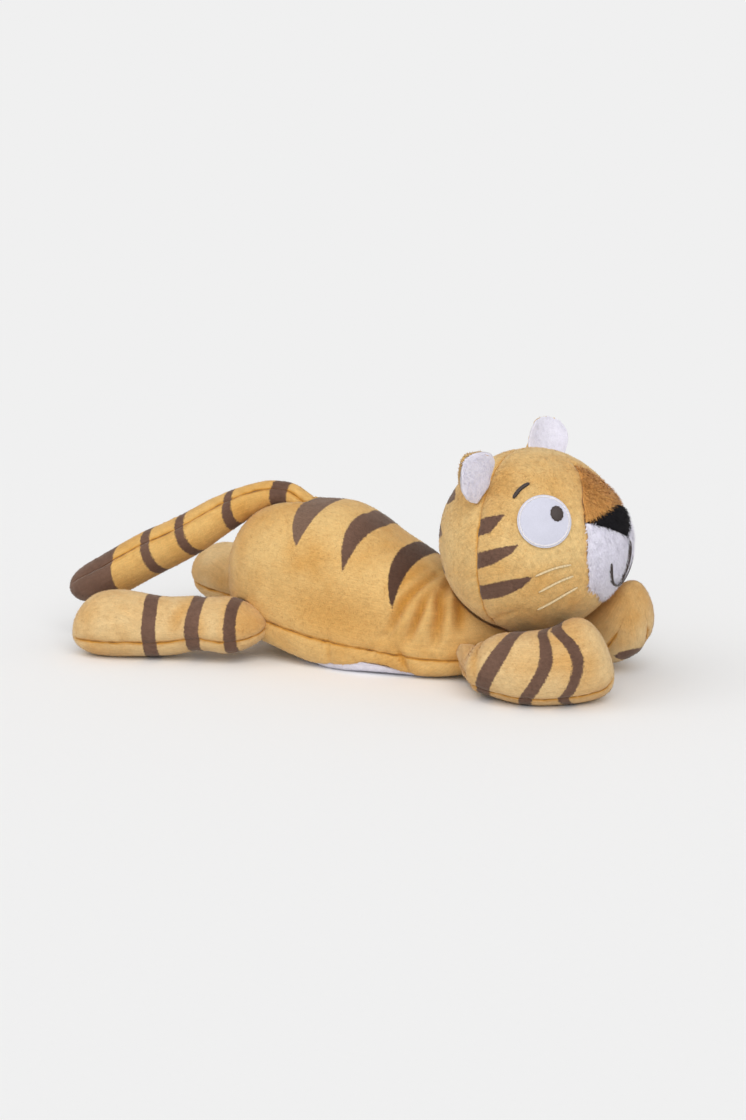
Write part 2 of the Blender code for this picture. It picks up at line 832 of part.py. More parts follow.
def torso_pieces(cutters):
    form = torso_form()
    upper, under = seam_panels(
        form, TORSO_SIDES, TORSO_SEAM_SIDES, "torso_upper_panel", "torso_under_panel"
    )
    belly = under.copy()
    belly.name = "belly_panel"
    belly.data = under.data.copy()
    belly.data.materials.clear()
    belly.data.materials.append(cloth_material("belly_panel", WHITE))
    bpy.context.collection.objects.link(belly)
    cut_by(under, [belly_cutter("belly_hole", SEAM_GAP)])
    keep = belly.modifiers.new("cut", "BOOLEAN")
    keep.operation = "INTERSECT"
    keep.solver = "EXACT"
    keep.object = belly_cutter("belly_outline", 0.0)
    core = stuffing("torso_stuffing", form)
    for piece in (upper, under, belly, core):
        cut_by(piece, cutters)


def place_on_pivot(pieces, name, pivot):
    """Parent the pieces of a moving body to an empty on its joint's axis."""
    empty = bpy.data.objects.new(name, None)
    empty.location = pivot
    bpy.context.collection.objects.link(empty)
    bpy.context.view_layer.update()
    for piece in pieces:
        piece.parent = empty
        piece.matrix_parent_inverse = empty.matrix_world.inverted()


def limb_pieces(kind, hand, section, power, seam_sides):
    name = f"{kind}_{side_name(hand)}"
    form = swept_form(section, LIMB_RINGS, LIMB_SIDES, power)
    pieces = seam_panels(
        form, LIMB_SIDES, seam_sides, f"{name}_upper_panel", f"{name}_under_panel"
    )
    pieces.append(stuffing(f"{name}_stuffing", form))
    place_on_pivot(pieces, f"{name}_pivot", section(0.0)[0])
    return pieces


def tail_pieces():
    form = swept_form(tail_section, TAIL_RINGS, TAIL_SIDES, TAIL_ROUND_POWER)
    half = TAIL_SIDES // 2
    first = TAIL_SEAM_SIDES

    def on_right(ring, side):
        return (side - first) % TAIL_SIDES >= half

    pieces = [
        panel("tail_right_panel", form, on_right, GOLD),
        panel("tail_left_panel", form, lambda ring, side: not on_right(ring, side), GOLD),
        stuffing("tail_stuffing", form),
    ]
    place_on_pivot(pieces, "tail_pivot", tail_section(0.0)[0])
    return form


def ear_pieces(hand):
    """One ear: a cupped white petal in front of a cupped gold one, standing on the crown seam."""
    level = -CROWN_SEAM_BACK / HEAD_RADIUS
    round_share = sqrt(1 - level**2)
    facing = EAR_FACING_LEFT if hand > 0 else EAR_FACING_RIGHT
    ahead = np.array((1.0, 0.0, 0.0))
    outward = np.array((0.0, hand * sin(EAR_TURN), cos(EAR_TURN)))
    sideways = np.array((0.0, hand * cos(EAR_TURN), -sin(EAR_TURN)))
    rise = outward * cos(EAR_LEAN) - ahead * sin(EAR_LEAN)
    tipped = ahead * cos(EAR_LEAN) + outward * sin(EAR_LEAN)
    front = tipped * cos(facing) + sideways * sin(facing)
    across = sideways * cos(facing) - tipped * sin(facing)
    base_way = ahead * level + outward * round_share
    base = head_point(base_way, EAR_BASE_GAP)
    rows = []
    for up_share, half_share in EAR_OUTLINE_SHARES:
        half = half_share * EAR_WIDTH
        row = []
        for c in range(EAR_COLUMNS + 1):
            across_share = 2 * c / EAR_COLUMNS - 1
            foot = unit(base + across * across_share * half - HEAD_CENTRE)
            cup = EAR_CUP * (across_share * 2 * half_share) ** 2 * sin(pi / 2 * up_share)
            point = head_point(foot, EAR_BASE_GAP) + rise * up_share * EAR_HEIGHT
            row.append(point + front * cup)
        rows.append(row)
    side = side_name(hand)
    near, far = SEAM_GAP / 2, SEAM_GAP / 2 + EAR_THICKNESS
    pieces = [
        petal(f"ear_{side}_front", rows, front, near, far, WHITE),
        petal(f"ear_{side}_back", rows, front, -near, -far, GOLD),
    ]
    place_on_pivot(pieces, f"ear_{side}_pivot", base)


def petal(name, rows, front, near, far, color):
    """A sheet between two distances in front of a grid of points."""
    points = [point + front * near for row in rows for point in row]
    points += [point + front * far for row in rows for point in row]
    wide = len(rows[0])
    count = len(rows) * wide
    return closed_sheet(name, points, grid_faces(len(rows), wide), count, color)


def main():
    for item in list(bpy.data.objects):
        bpy.data.objects.remove(item)
    head_cutter = ball_cutter("head_cut", HEAD_CENTRE, HEAD_RADIUS)
    root_cutters = [head_cutter]
    arm_head_cutter = ball_cutter("arm_head_cut", HEAD_CENTRE, HEAD_RADIUS, ARM_HEAD_GAP)
    for hand in (-1, 1):
        side = side_name(hand)
        arm = limb_section(
            (ARM_PIVOT_X, ARM_PIVOT_Y),
            1,
            hand,
            ARM_REACH,
            ARM_SPREAD,
            ARM_SWING_LEFT if hand > 0 else ARM_SWING_RIGHT,
            ARM_LIFT,
            ARM_THICKNESS,
            ARM_PROFILE_SHARES,
        )
        leg = limb_section(
            (LEG_PIVOT_X, LEG_PIVOT_Y),
            -1,
            hand,
            LEG_REACH,
            LEG_SPREAD,
            LEG_SWING_LEFT if hand > 0 else LEG_SWING_RIGHT,
            LEG_LIFT_LEFT if hand > 0 else LEG_LIFT_RIGHT,
            LEG_THICKNESS,
            LEG_PROFILE_SHARES,
        )
        for piece in limb_pieces("arm", hand, arm, ARM_ROUND_POWER, ARM_SEAM_SIDES):
            cut_by(piece, [arm_head_cutter])
        limb_pieces("leg", hand, leg, LEG_ROUND_POWER, LEG_SEAM_SIDES)
        for kind, section in (("arm", arm), ("leg", leg)):
            pivot, radius, _ = section(0.0)
            root_cutters.append(ball_cutter(f"{kind}_{side}_socket", pivot, radius))
    root_cutters.append(form_cutter("tail_groove", tail_pieces()))
    pivot, radius, _ = tail_section(0.0)
    root_cutters.append(ball_cutter("tail_socket", pivot, radius, TAIL_GAP))
    torso_pieces(root_cutters)

    on_head = head_pieces() + mouth_pieces()
    for hand in (-1, 1):
        on_head += eye_pieces(hand) + whisker_pieces(hand)
        ear_pieces(hand)
    place_on_pivot(on_head, "head_pivot", HEAD_CENTRE)


main()
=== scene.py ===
from math import atan2, cos, pi, radians, sin, sqrt

import bpy
import numpy as np
from mathutils import Matrix


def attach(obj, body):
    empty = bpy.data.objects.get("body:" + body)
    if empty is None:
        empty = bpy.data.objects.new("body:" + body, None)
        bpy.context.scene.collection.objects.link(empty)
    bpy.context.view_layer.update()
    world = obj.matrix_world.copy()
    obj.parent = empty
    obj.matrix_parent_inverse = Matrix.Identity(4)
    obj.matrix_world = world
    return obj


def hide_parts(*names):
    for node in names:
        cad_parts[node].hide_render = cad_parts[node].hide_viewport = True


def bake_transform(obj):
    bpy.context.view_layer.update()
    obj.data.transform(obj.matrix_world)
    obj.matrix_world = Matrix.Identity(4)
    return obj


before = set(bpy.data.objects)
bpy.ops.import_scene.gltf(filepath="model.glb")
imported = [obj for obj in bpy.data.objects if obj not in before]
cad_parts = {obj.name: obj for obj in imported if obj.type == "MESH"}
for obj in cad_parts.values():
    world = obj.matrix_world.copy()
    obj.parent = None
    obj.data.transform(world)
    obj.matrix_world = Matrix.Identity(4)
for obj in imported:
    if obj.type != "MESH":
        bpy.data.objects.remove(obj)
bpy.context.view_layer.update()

mm = 0.001
up = np.array((0.0, 0.0, 1.0))


# Small helpers for points and tables

def unit(vector):
    length = np.linalg.norm(vector, axis=-1, keepdims=True)
    return vector / np.maximum(length, 1e-12)


def fade(start, end, value):
    t = np.clip((value - start) / (end - start), 0, 1)
    return t * t * (3 - 2 * t)


def bent(value, power):
    return np.sign(value) * np.abs(value) ** (2 / power)


def readShares(rows, at):
    # The values of a table of shares, on a smooth curve through its rows
    table = np.array(rows, dtype=float)
    keys, values = table[:, 0], table[:, 1:]
    slopes = np.gradient(values, keys, axis=0)
    at = np.asarray(at, dtype=float)
    k = np.clip(np.searchsorted(keys, at) - 1, 0, len(keys) - 2)
    span = (keys[k + 1] - keys[k])[..., None]
    t = (at - keys[k])[..., None] / span
    return (
        values[k] * (1 + 2 * t) * (1 - t) ** 2
        + slopes[k] * span * t * (1 - t) ** 2
        + values[k + 1] * t * t * (3 - 2 * t)
        + slopes[k + 1] * span * t * t * (t - 1)
    )


def softNoise(points, size, seed):
    # Smooth lumps about one size apart, from -1 to 1
    place = points / size + seed * 17.31
    cell = np.floor(place).astype(np.int64)
    part = place - cell
    part = part * part * (3 - 2 * part)
    total = np.zeros(points.shape[:-1])
    for corner in np.ndindex(2, 2, 2):
        # One fixed value for each corner, the same on every run
        at = cell + corner
        mix = at[..., 0] * 374761393 + at[..., 1] * 668265263 + at[..., 2] * 1440662683
        mix = (mix ^ (mix >> 13)) * 1274126177
        value = ((mix ^ (mix >> 16)) & 0xFFFF) / 32767.5 - 1
        share = np.ones_like(total)
        for axis in range(3):
            share = share * (part[..., axis] if corner[axis] else 1 - part[..., axis])
        total += value * share
    return total


def lineDistance(x, z, route):
    # How far points of a side view are from a route, and how far along it they lie, 0 to 1
    best = np.full(np.shape(x), 1e9)
    along = np.zeros(np.shape(x))
    count = len(route) - 1
    for k, ((ax, az), (bx, bz)) in enumerate(zip(route, route[1:])):
        run = np.array((bx - ax, bz - az))
        t = np.clip(((x - ax) * run[0] + (z - az) * run[1]) / (run @ run), 0, 1)
        away = np.hypot(x - ax - run[0] * t, z - az - run[1] * t)
        along = np.where(away < best, (k + t) / count, along)
        best = np.minimum(best, away)
    return best, along


def insideOutline(x, z, corners):
    # Distance to a closed outline of a side view, positive inside it
    away, _ = lineDistance(x, z, list(corners) + [corners[0]])
    inside = np.zeros(np.shape(x), bool)
    for (ax, az), (bx, bz) in zip(corners, list(corners[1:]) + [corners[0]]):
        if az == bz:
            continue
        crosses = (az > z) != (bz > z)
        inside ^= crosses & (x < (bx - ax) * (z - az) / (bz - az) + ax)
    return np.where(inside, away, -away)


def leaveBall(points, centre, radius, way, press=0.0):
    # Moves the points that are inside a ball one way, until they lie on it; press flattens the ball
    away = (points - centre) / (1, 1, 1 - press)
    ahead = (away * way).sum(-1)
    inside = (away * away).sum(-1) - radius**2
    move = np.where(inside < 0, -ahead + np.sqrt(np.maximum(ahead**2 - inside, 0)), 0)
    return points + move[..., None] * way, inside < 0


def sideName(hand):
    return "left" if hand > 0 else "right"


def addObject(name, data):
    made = bpy.data.objects.new(name, data)
    bpy.context.scene.collection.objects.link(made)
    return made


def evenNap(way):
    # Pile that leans the same way all over a piece
    return lambda points: np.broadcast_to(way, points.shape)


# Materials

looksPlush = {
    "gold": (0.76, 0.505, 0.205),
    "goldDeep": (0.60, 0.285, 0.052),
    "goldPale": (0.745, 0.525, 0.258),
    "goldWarm": (0.76, 0.475, 0.165),
    # The head's gold made lighter: painted light standing in for the light reaching it from below
    "goldHeadLit": (0.765, 0.53, 0.232),
    "seam": (0.17, 0.065, 0.015),
    "stripe": (0.175, 0.098, 0.068),
    "stripeDeep": (0.105, 0.055, 0.038),
    # Stripe colours paler at the rear and, as painted shade, darker at the front
    "stripePale": (0.235, 0.145, 0.098),
    "stripeShaded": (0.070, 0.034, 0.022),
    "white": (0.86, 0.84, 0.93),
    "whiteDeep": (0.70, 0.67, 0.77),
    "bridge": (0.72, 0.37, 0.11),
    "bridgeDeep": (0.44, 0.16, 0.028),
    "nose": (0.013, 0.012, 0.015),
    "noseDeep": (0.004, 0.004, 0.005),
    "felt": (0.60, 0.60, 0.695),
    "darkThread": (0.030, 0.016, 0.012),
    "beigeThread": (0.70, 0.55, 0.32),
    "whiteThread": (0.78, 0.75, 0.78),
}


def addNode(tree, kind, links=None, **settings):
    # A shader node; links gives its inputs as values or as other nodes' outputs
    made = tree.nodes.new("ShaderNode" + kind)
    for name, value in settings.items():
        setattr(made, name, value)
    for name, value in (links or {}).items():
        fill(tree, made.inputs[name], value)
    return made


def fill(tree, socket, value):
    if isinstance(value, bpy.types.NodeSocket):
        tree.links.new(value, socket)
    elif isinstance(value, tuple) and len(socket.default_value) == 4:
        socket.default_value = (*value, 1)
    else:
        socket.default_value = value


def combine(tree, operation, *values):
    made = addNode(tree, "Math", operation=operation)
    for socket, value in zip(made.inputs, values):
        fill(tree, socket, value)
    return made.outputs[0]


def blendColors(tree, factor, first, second, way="MIX"):
    made = addNode(tree, "Mix", data_type="RGBA", blend_type=way)
    for place, value in ((0, factor), (6, first), (7, second)):
        fill(tree, made.inputs[place], value)
    return made.outputs[2]


def newMaterial(name):
    material = bpy.data.materials.new(name)
    material.use_nodes = True
    tree = material.node_tree
    return material, tree, tree.nodes["Principled BSDF"]


def readField(tree, name, output="Fac"):
    return addNode(tree, "Attribute", attribute_name=name).outputs[output]


def spotNoise(tree, place, scale, detail):
    made = addNode(tree, "TexNoise", {"Vector": place, "Scale": scale, "Detail": detail})
    return made.outputs[0]


def remap(tree, value, low, high, start, end):
    links = {"Value": value, "From Min": low, "From Max": high, "To Min": start, "To Max": end}
    return addNode(tree, "MapRange", links).outputs["Result"]


def greyColor(tree, value):
    return addNode(tree, "CombineColor", {k: value for k in ("Red", "Green", "Blue")}).outputs["Color"]


def shaded(tree, color, *shades):
    # A colour made lighter and darker by the shades
    total = shades[0]
    for shade in shades[1:]:
        total = combine(tree, "MULTIPLY", total, shade)
    return blendColors(tree, 1.0, color, greyColor(tree, total), "MULTIPLY")


def stretched(tree, scale):
    # Places along the cloth, closer together where the scale is larger
    made = addNode(tree, "Mapping", {"Vector": readField(tree, "clothPlace", "Vector"), "Scale": scale})
    return made.outputs["Vector"]


def roughen(tree, shader, height, strength, depth):
    bump = addNode(tree, "Bump", {"Height": height, "Strength": strength, "Distance": depth})
    tree.links.new(bump.outputs["Normal"], shader.inputs["Normal"])


# Marks of the plush, about how many to a metre, then the range of its roughness and the depth of its grain
weave = {
    "patches": 30.0,
    "edge": 900.0,
    "streaks": (70.0, 1100.0, 1.0),
    "fine": 1500.0,
    "tufts": 330.0,
    "rough": (0.84, 0.96),
    "bump": 0.5 * mm,
}


def plushMaterial(name, pale, deep, thread, stripes=False, grain=1.0, tuft=0.05, worn=None, sheen=0.25):
    # Short velour: patches where the pile leans, painted shade in folds and seams, streaks along the cloth,
    # tufts, fine grain, and painted shade at the pile's roots
    pale, deep, thread = (looksPlush[label] for label in (pale, deep, thread))
    material, tree, shader = newMaterial(name)
    place = addNode(tree, "TexCoord").outputs["Object"]
    shadeAndThread = readField(tree, "paintedShadeAndThread")
    patches = remap(tree, spotNoise(tree, place, weave["patches"], 3.0), 0.40, 0.70, 0.0, 0.62)
    # Random patches, and painted shade in folds and seam grooves, pull the colour towards the deep one
    patchesAndShade = combine(tree, "MINIMUM", combine(tree, "MAXIMUM", patches, shadeAndThread), 1.0)
    color = blendColors(tree, patchesAndShade, pale, deep)
    if stripes:
        wobble = remap(tree, spotNoise(tree, place, weave["edge"], 3.0), 0.25, 0.75, -0.55, 0.55)
        mask = remap(tree, combine(tree, "ADD", readField(tree, "stripeEdge"), wobble), -0.35, 0.35, 0.0, 1.0)
        brown = blendColors(tree, patches, looksPlush["stripe"], looksPlush["stripeDeep"])
        if worn:
            # Stripes paler towards the rear, and darker towards the front with painted shade near the neck
            x = addNode(tree, "SeparateXYZ", {"Vector": place}).outputs["X"]
            paler, darker = (remap(tree, x, *worn[k:k + 2], 0.8 * (1 - k), 0.8 * k) for k in (0, 1))
            brown = blendColors(tree, paler, brown, looksPlush["stripePale"])
            brown = blendColors(tree, darker, brown, looksPlush["stripeShaded"])
        color = blendColors(tree, mask, color, brown)
    # Above 1 the field is the dark stitched thread's own colour
    color = blendColors(tree, remap(tree, shadeAndThread, 1.0, 2.0, 0.0, 1.0), color, thread)
    streak = spotNoise(tree, stretched(tree, weave["streaks"]), 1.0, 3.0)
    fine = spotNoise(tree, place, weave["fine"], 3.0)
    tufts = spotNoise(tree, place, weave["tufts"], 2.0)
    color = shaded(
        tree, color,
        remap(tree, tufts, 0.3, 0.7, 1 - tuft, 1 + tuft),
        remap(tree, streak, 0.3, 0.7, 1 - 0.07 * grain, 1 + 0.05 * grain),
        remap(tree, fine, 0.3, 0.7, 1 - 0.09 * grain, 1 + 0.07 * grain),
        # Painted shade at the pile's roots and painted light at its tips
        remap(tree, readField(tree, "pileTip"), 0.0, 1.0, 0.94, 1.07),
    )
    tree.links.new(color, shader.inputs["Base Color"])
    tree.links.new(remap(tree, fine, 0.3, 0.7, *weave["rough"]), shader.inputs["Roughness"])
    roughen(tree, shader, combine(tree, "ADD", fine, streak), 0.35, weave["bump"])
    shader.inputs["Sheen Weight"].default_value = sheen
    shader.inputs["Sheen Roughness"].default_value = 0.45
    shader.inputs["Sheen Tint"].default_value = (1.0, 0.93, 0.82, 1)
    shader.inputs["Specular IOR Level"].default_value = 0.12
    return material


def threadMaterial(name, color, pitch):
    # Satin stitch: fine threads side by side along the first cloth direction
    material, tree, shader = newMaterial(name)
    threads = spotNoise(tree, stretched(tree, (1 / pitch, 0.1 / pitch, 1.0)), 1.0, 1.0)
    fine = spotNoise(tree, addNode(tree, "TexCoord").outputs["Object"], 2500.0, 2.0)
    shade = remap(tree, threads, 0.3, 0.7, 0.72, 1.18)
    tree.links.new(shaded(tree, color, shade), shader.inputs["Base Color"])
    tree.links.new(remap(tree, fine, 0.3, 0.7, 0.47, 0.63), shader.inputs["Roughness"])
    roughen(tree, shader, threads, 0.6, 0.25 * mm)
    shader.inputs["Sheen Weight"].default_value = 0.1
    return material


def feltMaterial(name, color):
    # Smooth felt: short tangled fibres and faint clouds
    material, tree, shader = newMaterial(name)
    place = addNode(tree, "TexCoord").outputs["Object"]
    fibres = spotNoise(tree, place, 1900.0, 4.0)
    clouds = remap(tree, spotNoise(tree, place, 120.0, 3.0), 0.3, 0.7, 0.97, 1.02)
    color = shaded(tree, color, clouds, remap(tree, fibres, 0.3, 0.7, 0.95, 1.04))
    tree.links.new(color, shader.inputs["Base Color"])
    tree.links.new(remap(tree, fibres, 0.3, 0.7, 0.82, 0.95), shader.inputs["Roughness"])
    roughen(tree, shader, fibres, 0.3, 0.3 * mm)
    shader.inputs["Sheen Weight"].default_value = 0.2
    return material


# Each plush: its tips, its depth and its seams, then what sets it apart. Torso stripes are palest, plain and
# darkest at three places along the body, the darkest being painted shade at the front
plushes = {
    "torso": ("gold", "goldDeep", "seam", {"stripes": True, "worn": (-0.03, 0.01, 0.045)}),
    "limb": ("goldPale", "goldDeep", "seam", {"stripes": True}),
    "tail": ("goldWarm", "goldDeep", "seam", {"stripes": True}),
    "head": ("goldHeadLit", "goldDeep", "seam", {"stripes": True, "grain": 1.35, "tuft": 0.09}),
    "white": ("white", "whiteDeep", "whiteDeep", {"grain": 0.6}),
    "bridge": ("bridge", "bridgeDeep", "bridgeDeep", {"grain": 1.5}),
    "honey": ("gold", "goldDeep", "seam", {}),
    "nose": ("nose", "noseDeep", "noseDeep", {"grain": 1.5, "sheen": 0.04}),
}
materials = {
    kind: plushMaterial(f"{kind}Plush", *colors, **changes) for kind, (*colors, changes) in plushes.items()
}
materials.update({
    "felt": feltMaterial("eyeFelt", looksPlush["felt"]),
    "eyeRim": threadMaterial("eyeRimStitch", looksPlush["whiteThread"], 0.45 * mm),
    "dark": threadMaterial("darkStitch", looksPlush["darkThread"], 0.4 * mm),
    "beige": threadMaterial("whiskerStitch", looksPlush["beigeThread"], 0.5 * mm),
})
print("materials:", len(materials))


# Cloth patches: a grid of points, its seams, its pile, and the mesh made of them

def isPole(line):
    return np.ptp(line, axis=0).max() < 1e-7


def patchNormals(points):
    normals = np.cross(np.gradient(points, axis=0), np.gradient(points, axis=1))
    for row, inner in ((0, 1), (-1, -2)):
        if isPole(points[row]):
            normals[row] = normals[inner].mean(0)
    return unit(normals)


def rimWays(points):
    # Outward directions along the open sides of a sheet, and nothing inside it
    ways = np.zeros(points.shape)
    if not isPole(points[0]):
        ways[0] += unit(points[0] - points[1])
    if not isPole(points[-1]):
        ways[-1] += unit(points[-1] - points[-2])
    ways[:, 0] += unit(points[:, 0] - points[:, 1])
    ways[:, -1] += unit(points[:, -1] - points[:, -2])
    return ways


def arcs(points, axis):
    steps = np.linalg.norm(np.diff(points, axis=axis), axis=-1)
    start = np.zeros_like(np.take(steps, [0], axis=axis))
    return np.cumsum(np.concatenate((start, steps), axis=axis), axis=axis)


def layPatch(surface, uMarks, vMarks, seams, cell):
    # Points of a surface on an even grid whose lines go through the marks
    def spread(marks, others, along):
        middle = (others[0] + others[-1]) / 2
        values = [marks[0]]
        for start, end in zip(marks, marks[1:]):
            fine = np.linspace(start, end, 400)
            side = np.array((middle, middle + 1e-3))
            line = surface(fine, side)[:, 0] if along else surface(side, fine)[0]
            length = arcs(line, 0)
            count = max(2, int(round(length[-1] / cell)))
            values += list(np.interp(np.arange(1, count + 1) / count * length[-1], length, fine))
        return np.array(values)

    def refine(values, first, last):
        # One thin row beside each seam, for the stitched line
        extra = [values[0] + 0.35 * (values[1] - values[0])] if first else []
        extra += [values[-1] + 0.35 * (values[-2] - values[-1])] if last else []
        return np.sort(np.append(values, extra))

    u = refine(spread(uMarks, vMarks, True), "u0" in seams, "u1" in seams)
    v = refine(spread(vMarks, uMarks, False), "v0" in seams, "v1" in seams)
    return u, surface(u, v)


def gridFaces(points):
    # Quads of a grid, triangles where a row has shrunk to a pole, and the open sides
    rows, columns = points.shape[:2]
    number = np.arange(rows * columns).reshape(rows, columns)
    poles = [isPole(points[0]), isPole(points[-1])]
    if poles[0]:
        number[0] = number[0, 0]
    if poles[1]:
        number[-1] = number[-1, 0]
    a, b, c, d = number[:-1, :-1], number[1:, :-1], number[1:, 1:], number[:-1, 1:]
    quads = np.stack((a, b, c, d), -1)[int(poles[0]):rows - 1 - int(poles[1])].reshape(-1, 4)
    tris = np.empty((0, 3), int)
    if poles[0]:
        tris = np.concatenate((tris, np.stack((a[0], b[0], c[0]), -1)))
    if poles[1]:
        tris = np.concatenate((tris, np.stack((a[-1], b[-1], d[-1]), -1)))
    sides = [number[::-1, 0], number[:, -1]]
    sides += [] if poles[0] else [number[0]]
    sides += [] if poles[1] else [number[-1, ::-1]]
    return number.size, quads, tris, sides


def closeSheet(points):
    # Faces of a sheet of two layers, joined along every open side
    count, quads, tris, sides = gridFaces(points)
    rims = [np.stack((side[:-1], side[1:], side[1:] + count, side[:-1] + count), -1) for side in sides]
    quads = np.concatenate([quads, quads[:, ::-1] + count] + rims)
    return count, quads, np.concatenate((tris, tris[:, ::-1] + count))


def buildMesh(name, points, quads, tris, fields, places, normals):
    # A mesh with its fields as point attributes, a map for its places, and smooth normals
    used = np.zeros(len(points), bool)
    used[quads] = True
    used[tris] = True
    number = np.cumsum(used) - 1
    quads, tris = number[quads], number[tris]
    points, places, normals = points[used], places[used], normals[used]
    mesh = bpy.data.meshes.new(name)
    mesh.vertices.add(len(points))
    mesh.vertices.foreach_set("co", points.ravel())
    corners = np.concatenate((quads.ravel(), tris.ravel()))
    starts = np.concatenate((np.arange(len(quads)) * 4, len(quads) * 4 + np.arange(len(tris)) * 3))
    mesh.loops.add(len(corners))
    mesh.loops.foreach_set("vertex_index", corners.astype(np.int32))
    mesh.polygons.add(len(starts))
    mesh.polygons.foreach_set("loop_start", starts.astype(np.int32))
    mesh.update(calc_edges=True)
    for label, values in fields.items():
        wide = values.ndim == 2
        made = mesh.attributes.new(label, "FLOAT_VECTOR" if wide else "FLOAT", "POINT")
        made.data.foreach_set("vector" if wide else "value", values[used].astype(np.float32).ravel())
    layer = mesh.uv_layers.new(name="OFBake")
    layer.uv.foreach_set("vector", places[corners].astype(np.float32).ravel())
    mesh.shade_smooth()
    mesh.normals_split_custom_set_from_vertices(normals.astype(np.float32))
    return addObject(name, mesh)


def edgeSlope(points, edge):
    # Which way and how fast the distance to a stripe's edge changes, in mm per metre
    slope = np.zeros(points.shape)
    for axis in (0, 1):
        along = np.gradient(points, axis=axis)
        length = np.maximum(np.linalg.norm(along, axis=-1, keepdims=True), 1e-6)
        slope += along / length**2 * np.gradient(edge, axis=axis)[..., None]
    size = np.linalg.norm(slope, axis=-1, keepdims=True)
    return slope * np.minimum(1, 1200 / np.maximum(size, 1e-6))


# A blade of pile: how deep its root sits, where it bends and how far, its taper, its uneven shine, and its
# spot on the map
blade = {"sunk": 0.1 * mm, "bendAt": 0.55, "curl": 0.25, "taper": 0.75, "shine": 0.12, "spot": 0.0007}


def growPile(points, normals, fields, places, hidden, nap, pile, seed):
    # Roots spread evenly by area, each blade leaning along the nap
    random = np.random.default_rng(seed)
    corner = points[:-1, :-1]
    area = np.linalg.norm(np.cross(points[1:, :-1] - corner, points[:-1, 1:] - corner), axis=-1)
    area = np.where(hidden[:-1, :-1] | hidden[1:, 1:], 0, area)
    count = int(area.sum() * 1e4 * pile["perSquareCm"] * (1.0))
    chosen = np.searchsorted(np.cumsum(area.ravel()), random.random(count) * area.sum())
    row, column = np.divmod(np.minimum(chosen, area.size - 1), area.shape[1])
    a, b = random.random((2, count))

    def read(values):
        shape = (count,) + (1,) * (values.ndim - 2)
        s, t = a.reshape(shape), b.reshape(shape)
        low = values[row, column] * (1 - t) + values[row, column + 1] * t
        high = values[row + 1, column] * (1 - t) + values[row + 1, column + 1] * t
        return low * (1 - s) + high * s

    root, normal, lean = read(points), unit(read(normals)), read(nap)
    lean = lean + random.normal(0, pile["mess"], (count, 3))
    lean = unit(lean - normal * (lean * normal).sum(-1, keepdims=True))
    lift = radians(pile["liftDegrees"]) * random.uniform(0.6, 1.3, (count, 1))
    way = lean * np.cos(lift) + normal * np.sin(lift)
    side = unit(np.cross(normal, way)) * pile["width"] / 2 * random.uniform(0.7, 1.2, (count, 1))
    length = pile["length"] * random.uniform(0.6, 1.15, (count, 1))
    root = root - normal * blade["sunk"]
    middle = root + way * length * blade["bendAt"]
    end = middle + unit(way + lean * blade["curl"]) * length * (1 - blade["bendAt"])
    thin = side * blade["taper"]
    blades = np.stack((root - side, root + side, middle + thin, middle - thin, end), 1)
    blades[..., 2] = np.maximum(blades[..., 2], 0)
    first = np.arange(count) * 5
    quads = np.stack((first + 3, first + 2, first + 1, first), -1)
    tris = np.stack((first + 4, first + 2, first + 3), -1)
    made = {label: np.repeat(read(values), 5, axis=0) for label, values in fields.items()}
    slope = read(edgeSlope(points, fields["stripeEdge"]))
    made["stripeEdge"] += ((blades - root[:, None]) * slope[:, None]).sum(-1).ravel()
    # Where along its blade each point lies, read for painted shade at the roots and painted light at the tips
    made["pileTip"] = np.tile((0.0, 0.0, 0.6, 0.6, 1.0), count)
    corners = np.array(((-1, -1), (1, -1), (1, 0), (-1, 0), (0, 1)))
    spots = read(places)[:, None] + corners * blade["spot"]
    tilted = unit(normal + random.normal(0, blade["shine"], (count, 3)))
    return blades.reshape(-1, 3), quads, tris, made, spots.reshape(-1, 2), np.repeat(tilted, 5, axis=0)


# All cloth: the size of its grid, how a seam fades at a tip, its stitches, and how wide its puckers reach
sewing = {
    "cell": 1.7 * mm,
    "fadeOut": 9 * mm,
    "stitchRun": 3.2 * mm,
    "stitchWidth": 1.1 * mm,
    "puckerReach": 2.2,
}


def sewShape(base, reach, looks):
    # How far each point moves out, and how dark it is: seams with painted shade in their grooves, puckers
    # beside them, lumps and the dark stitches
    roll = np.exp(-((reach / looks["seamWidth"]) ** 1.4))
    pucker = looks["puckerDepth"] * softNoise(base, looks["puckerLength"], 3)
    move = -looks["seamDepth"] * roll + pucker * np.exp(-reach / (sewing["puckerReach"] * looks["seamWidth"]))
    for k, (size, depth) in enumerate(looks["lumps"]):
        move = move + depth * softNoise(base, size, 5 + k)
    stitches = 0.75 + 0.35 * softNoise(base, sewing["stitchRun"], 9)
    thread = looks["threadShade"] * stitches * np.exp(-((reach / sewing["stitchWidth"]) ** 2))
    return move, np.maximum(looks["seamShade"] * roll, thread)


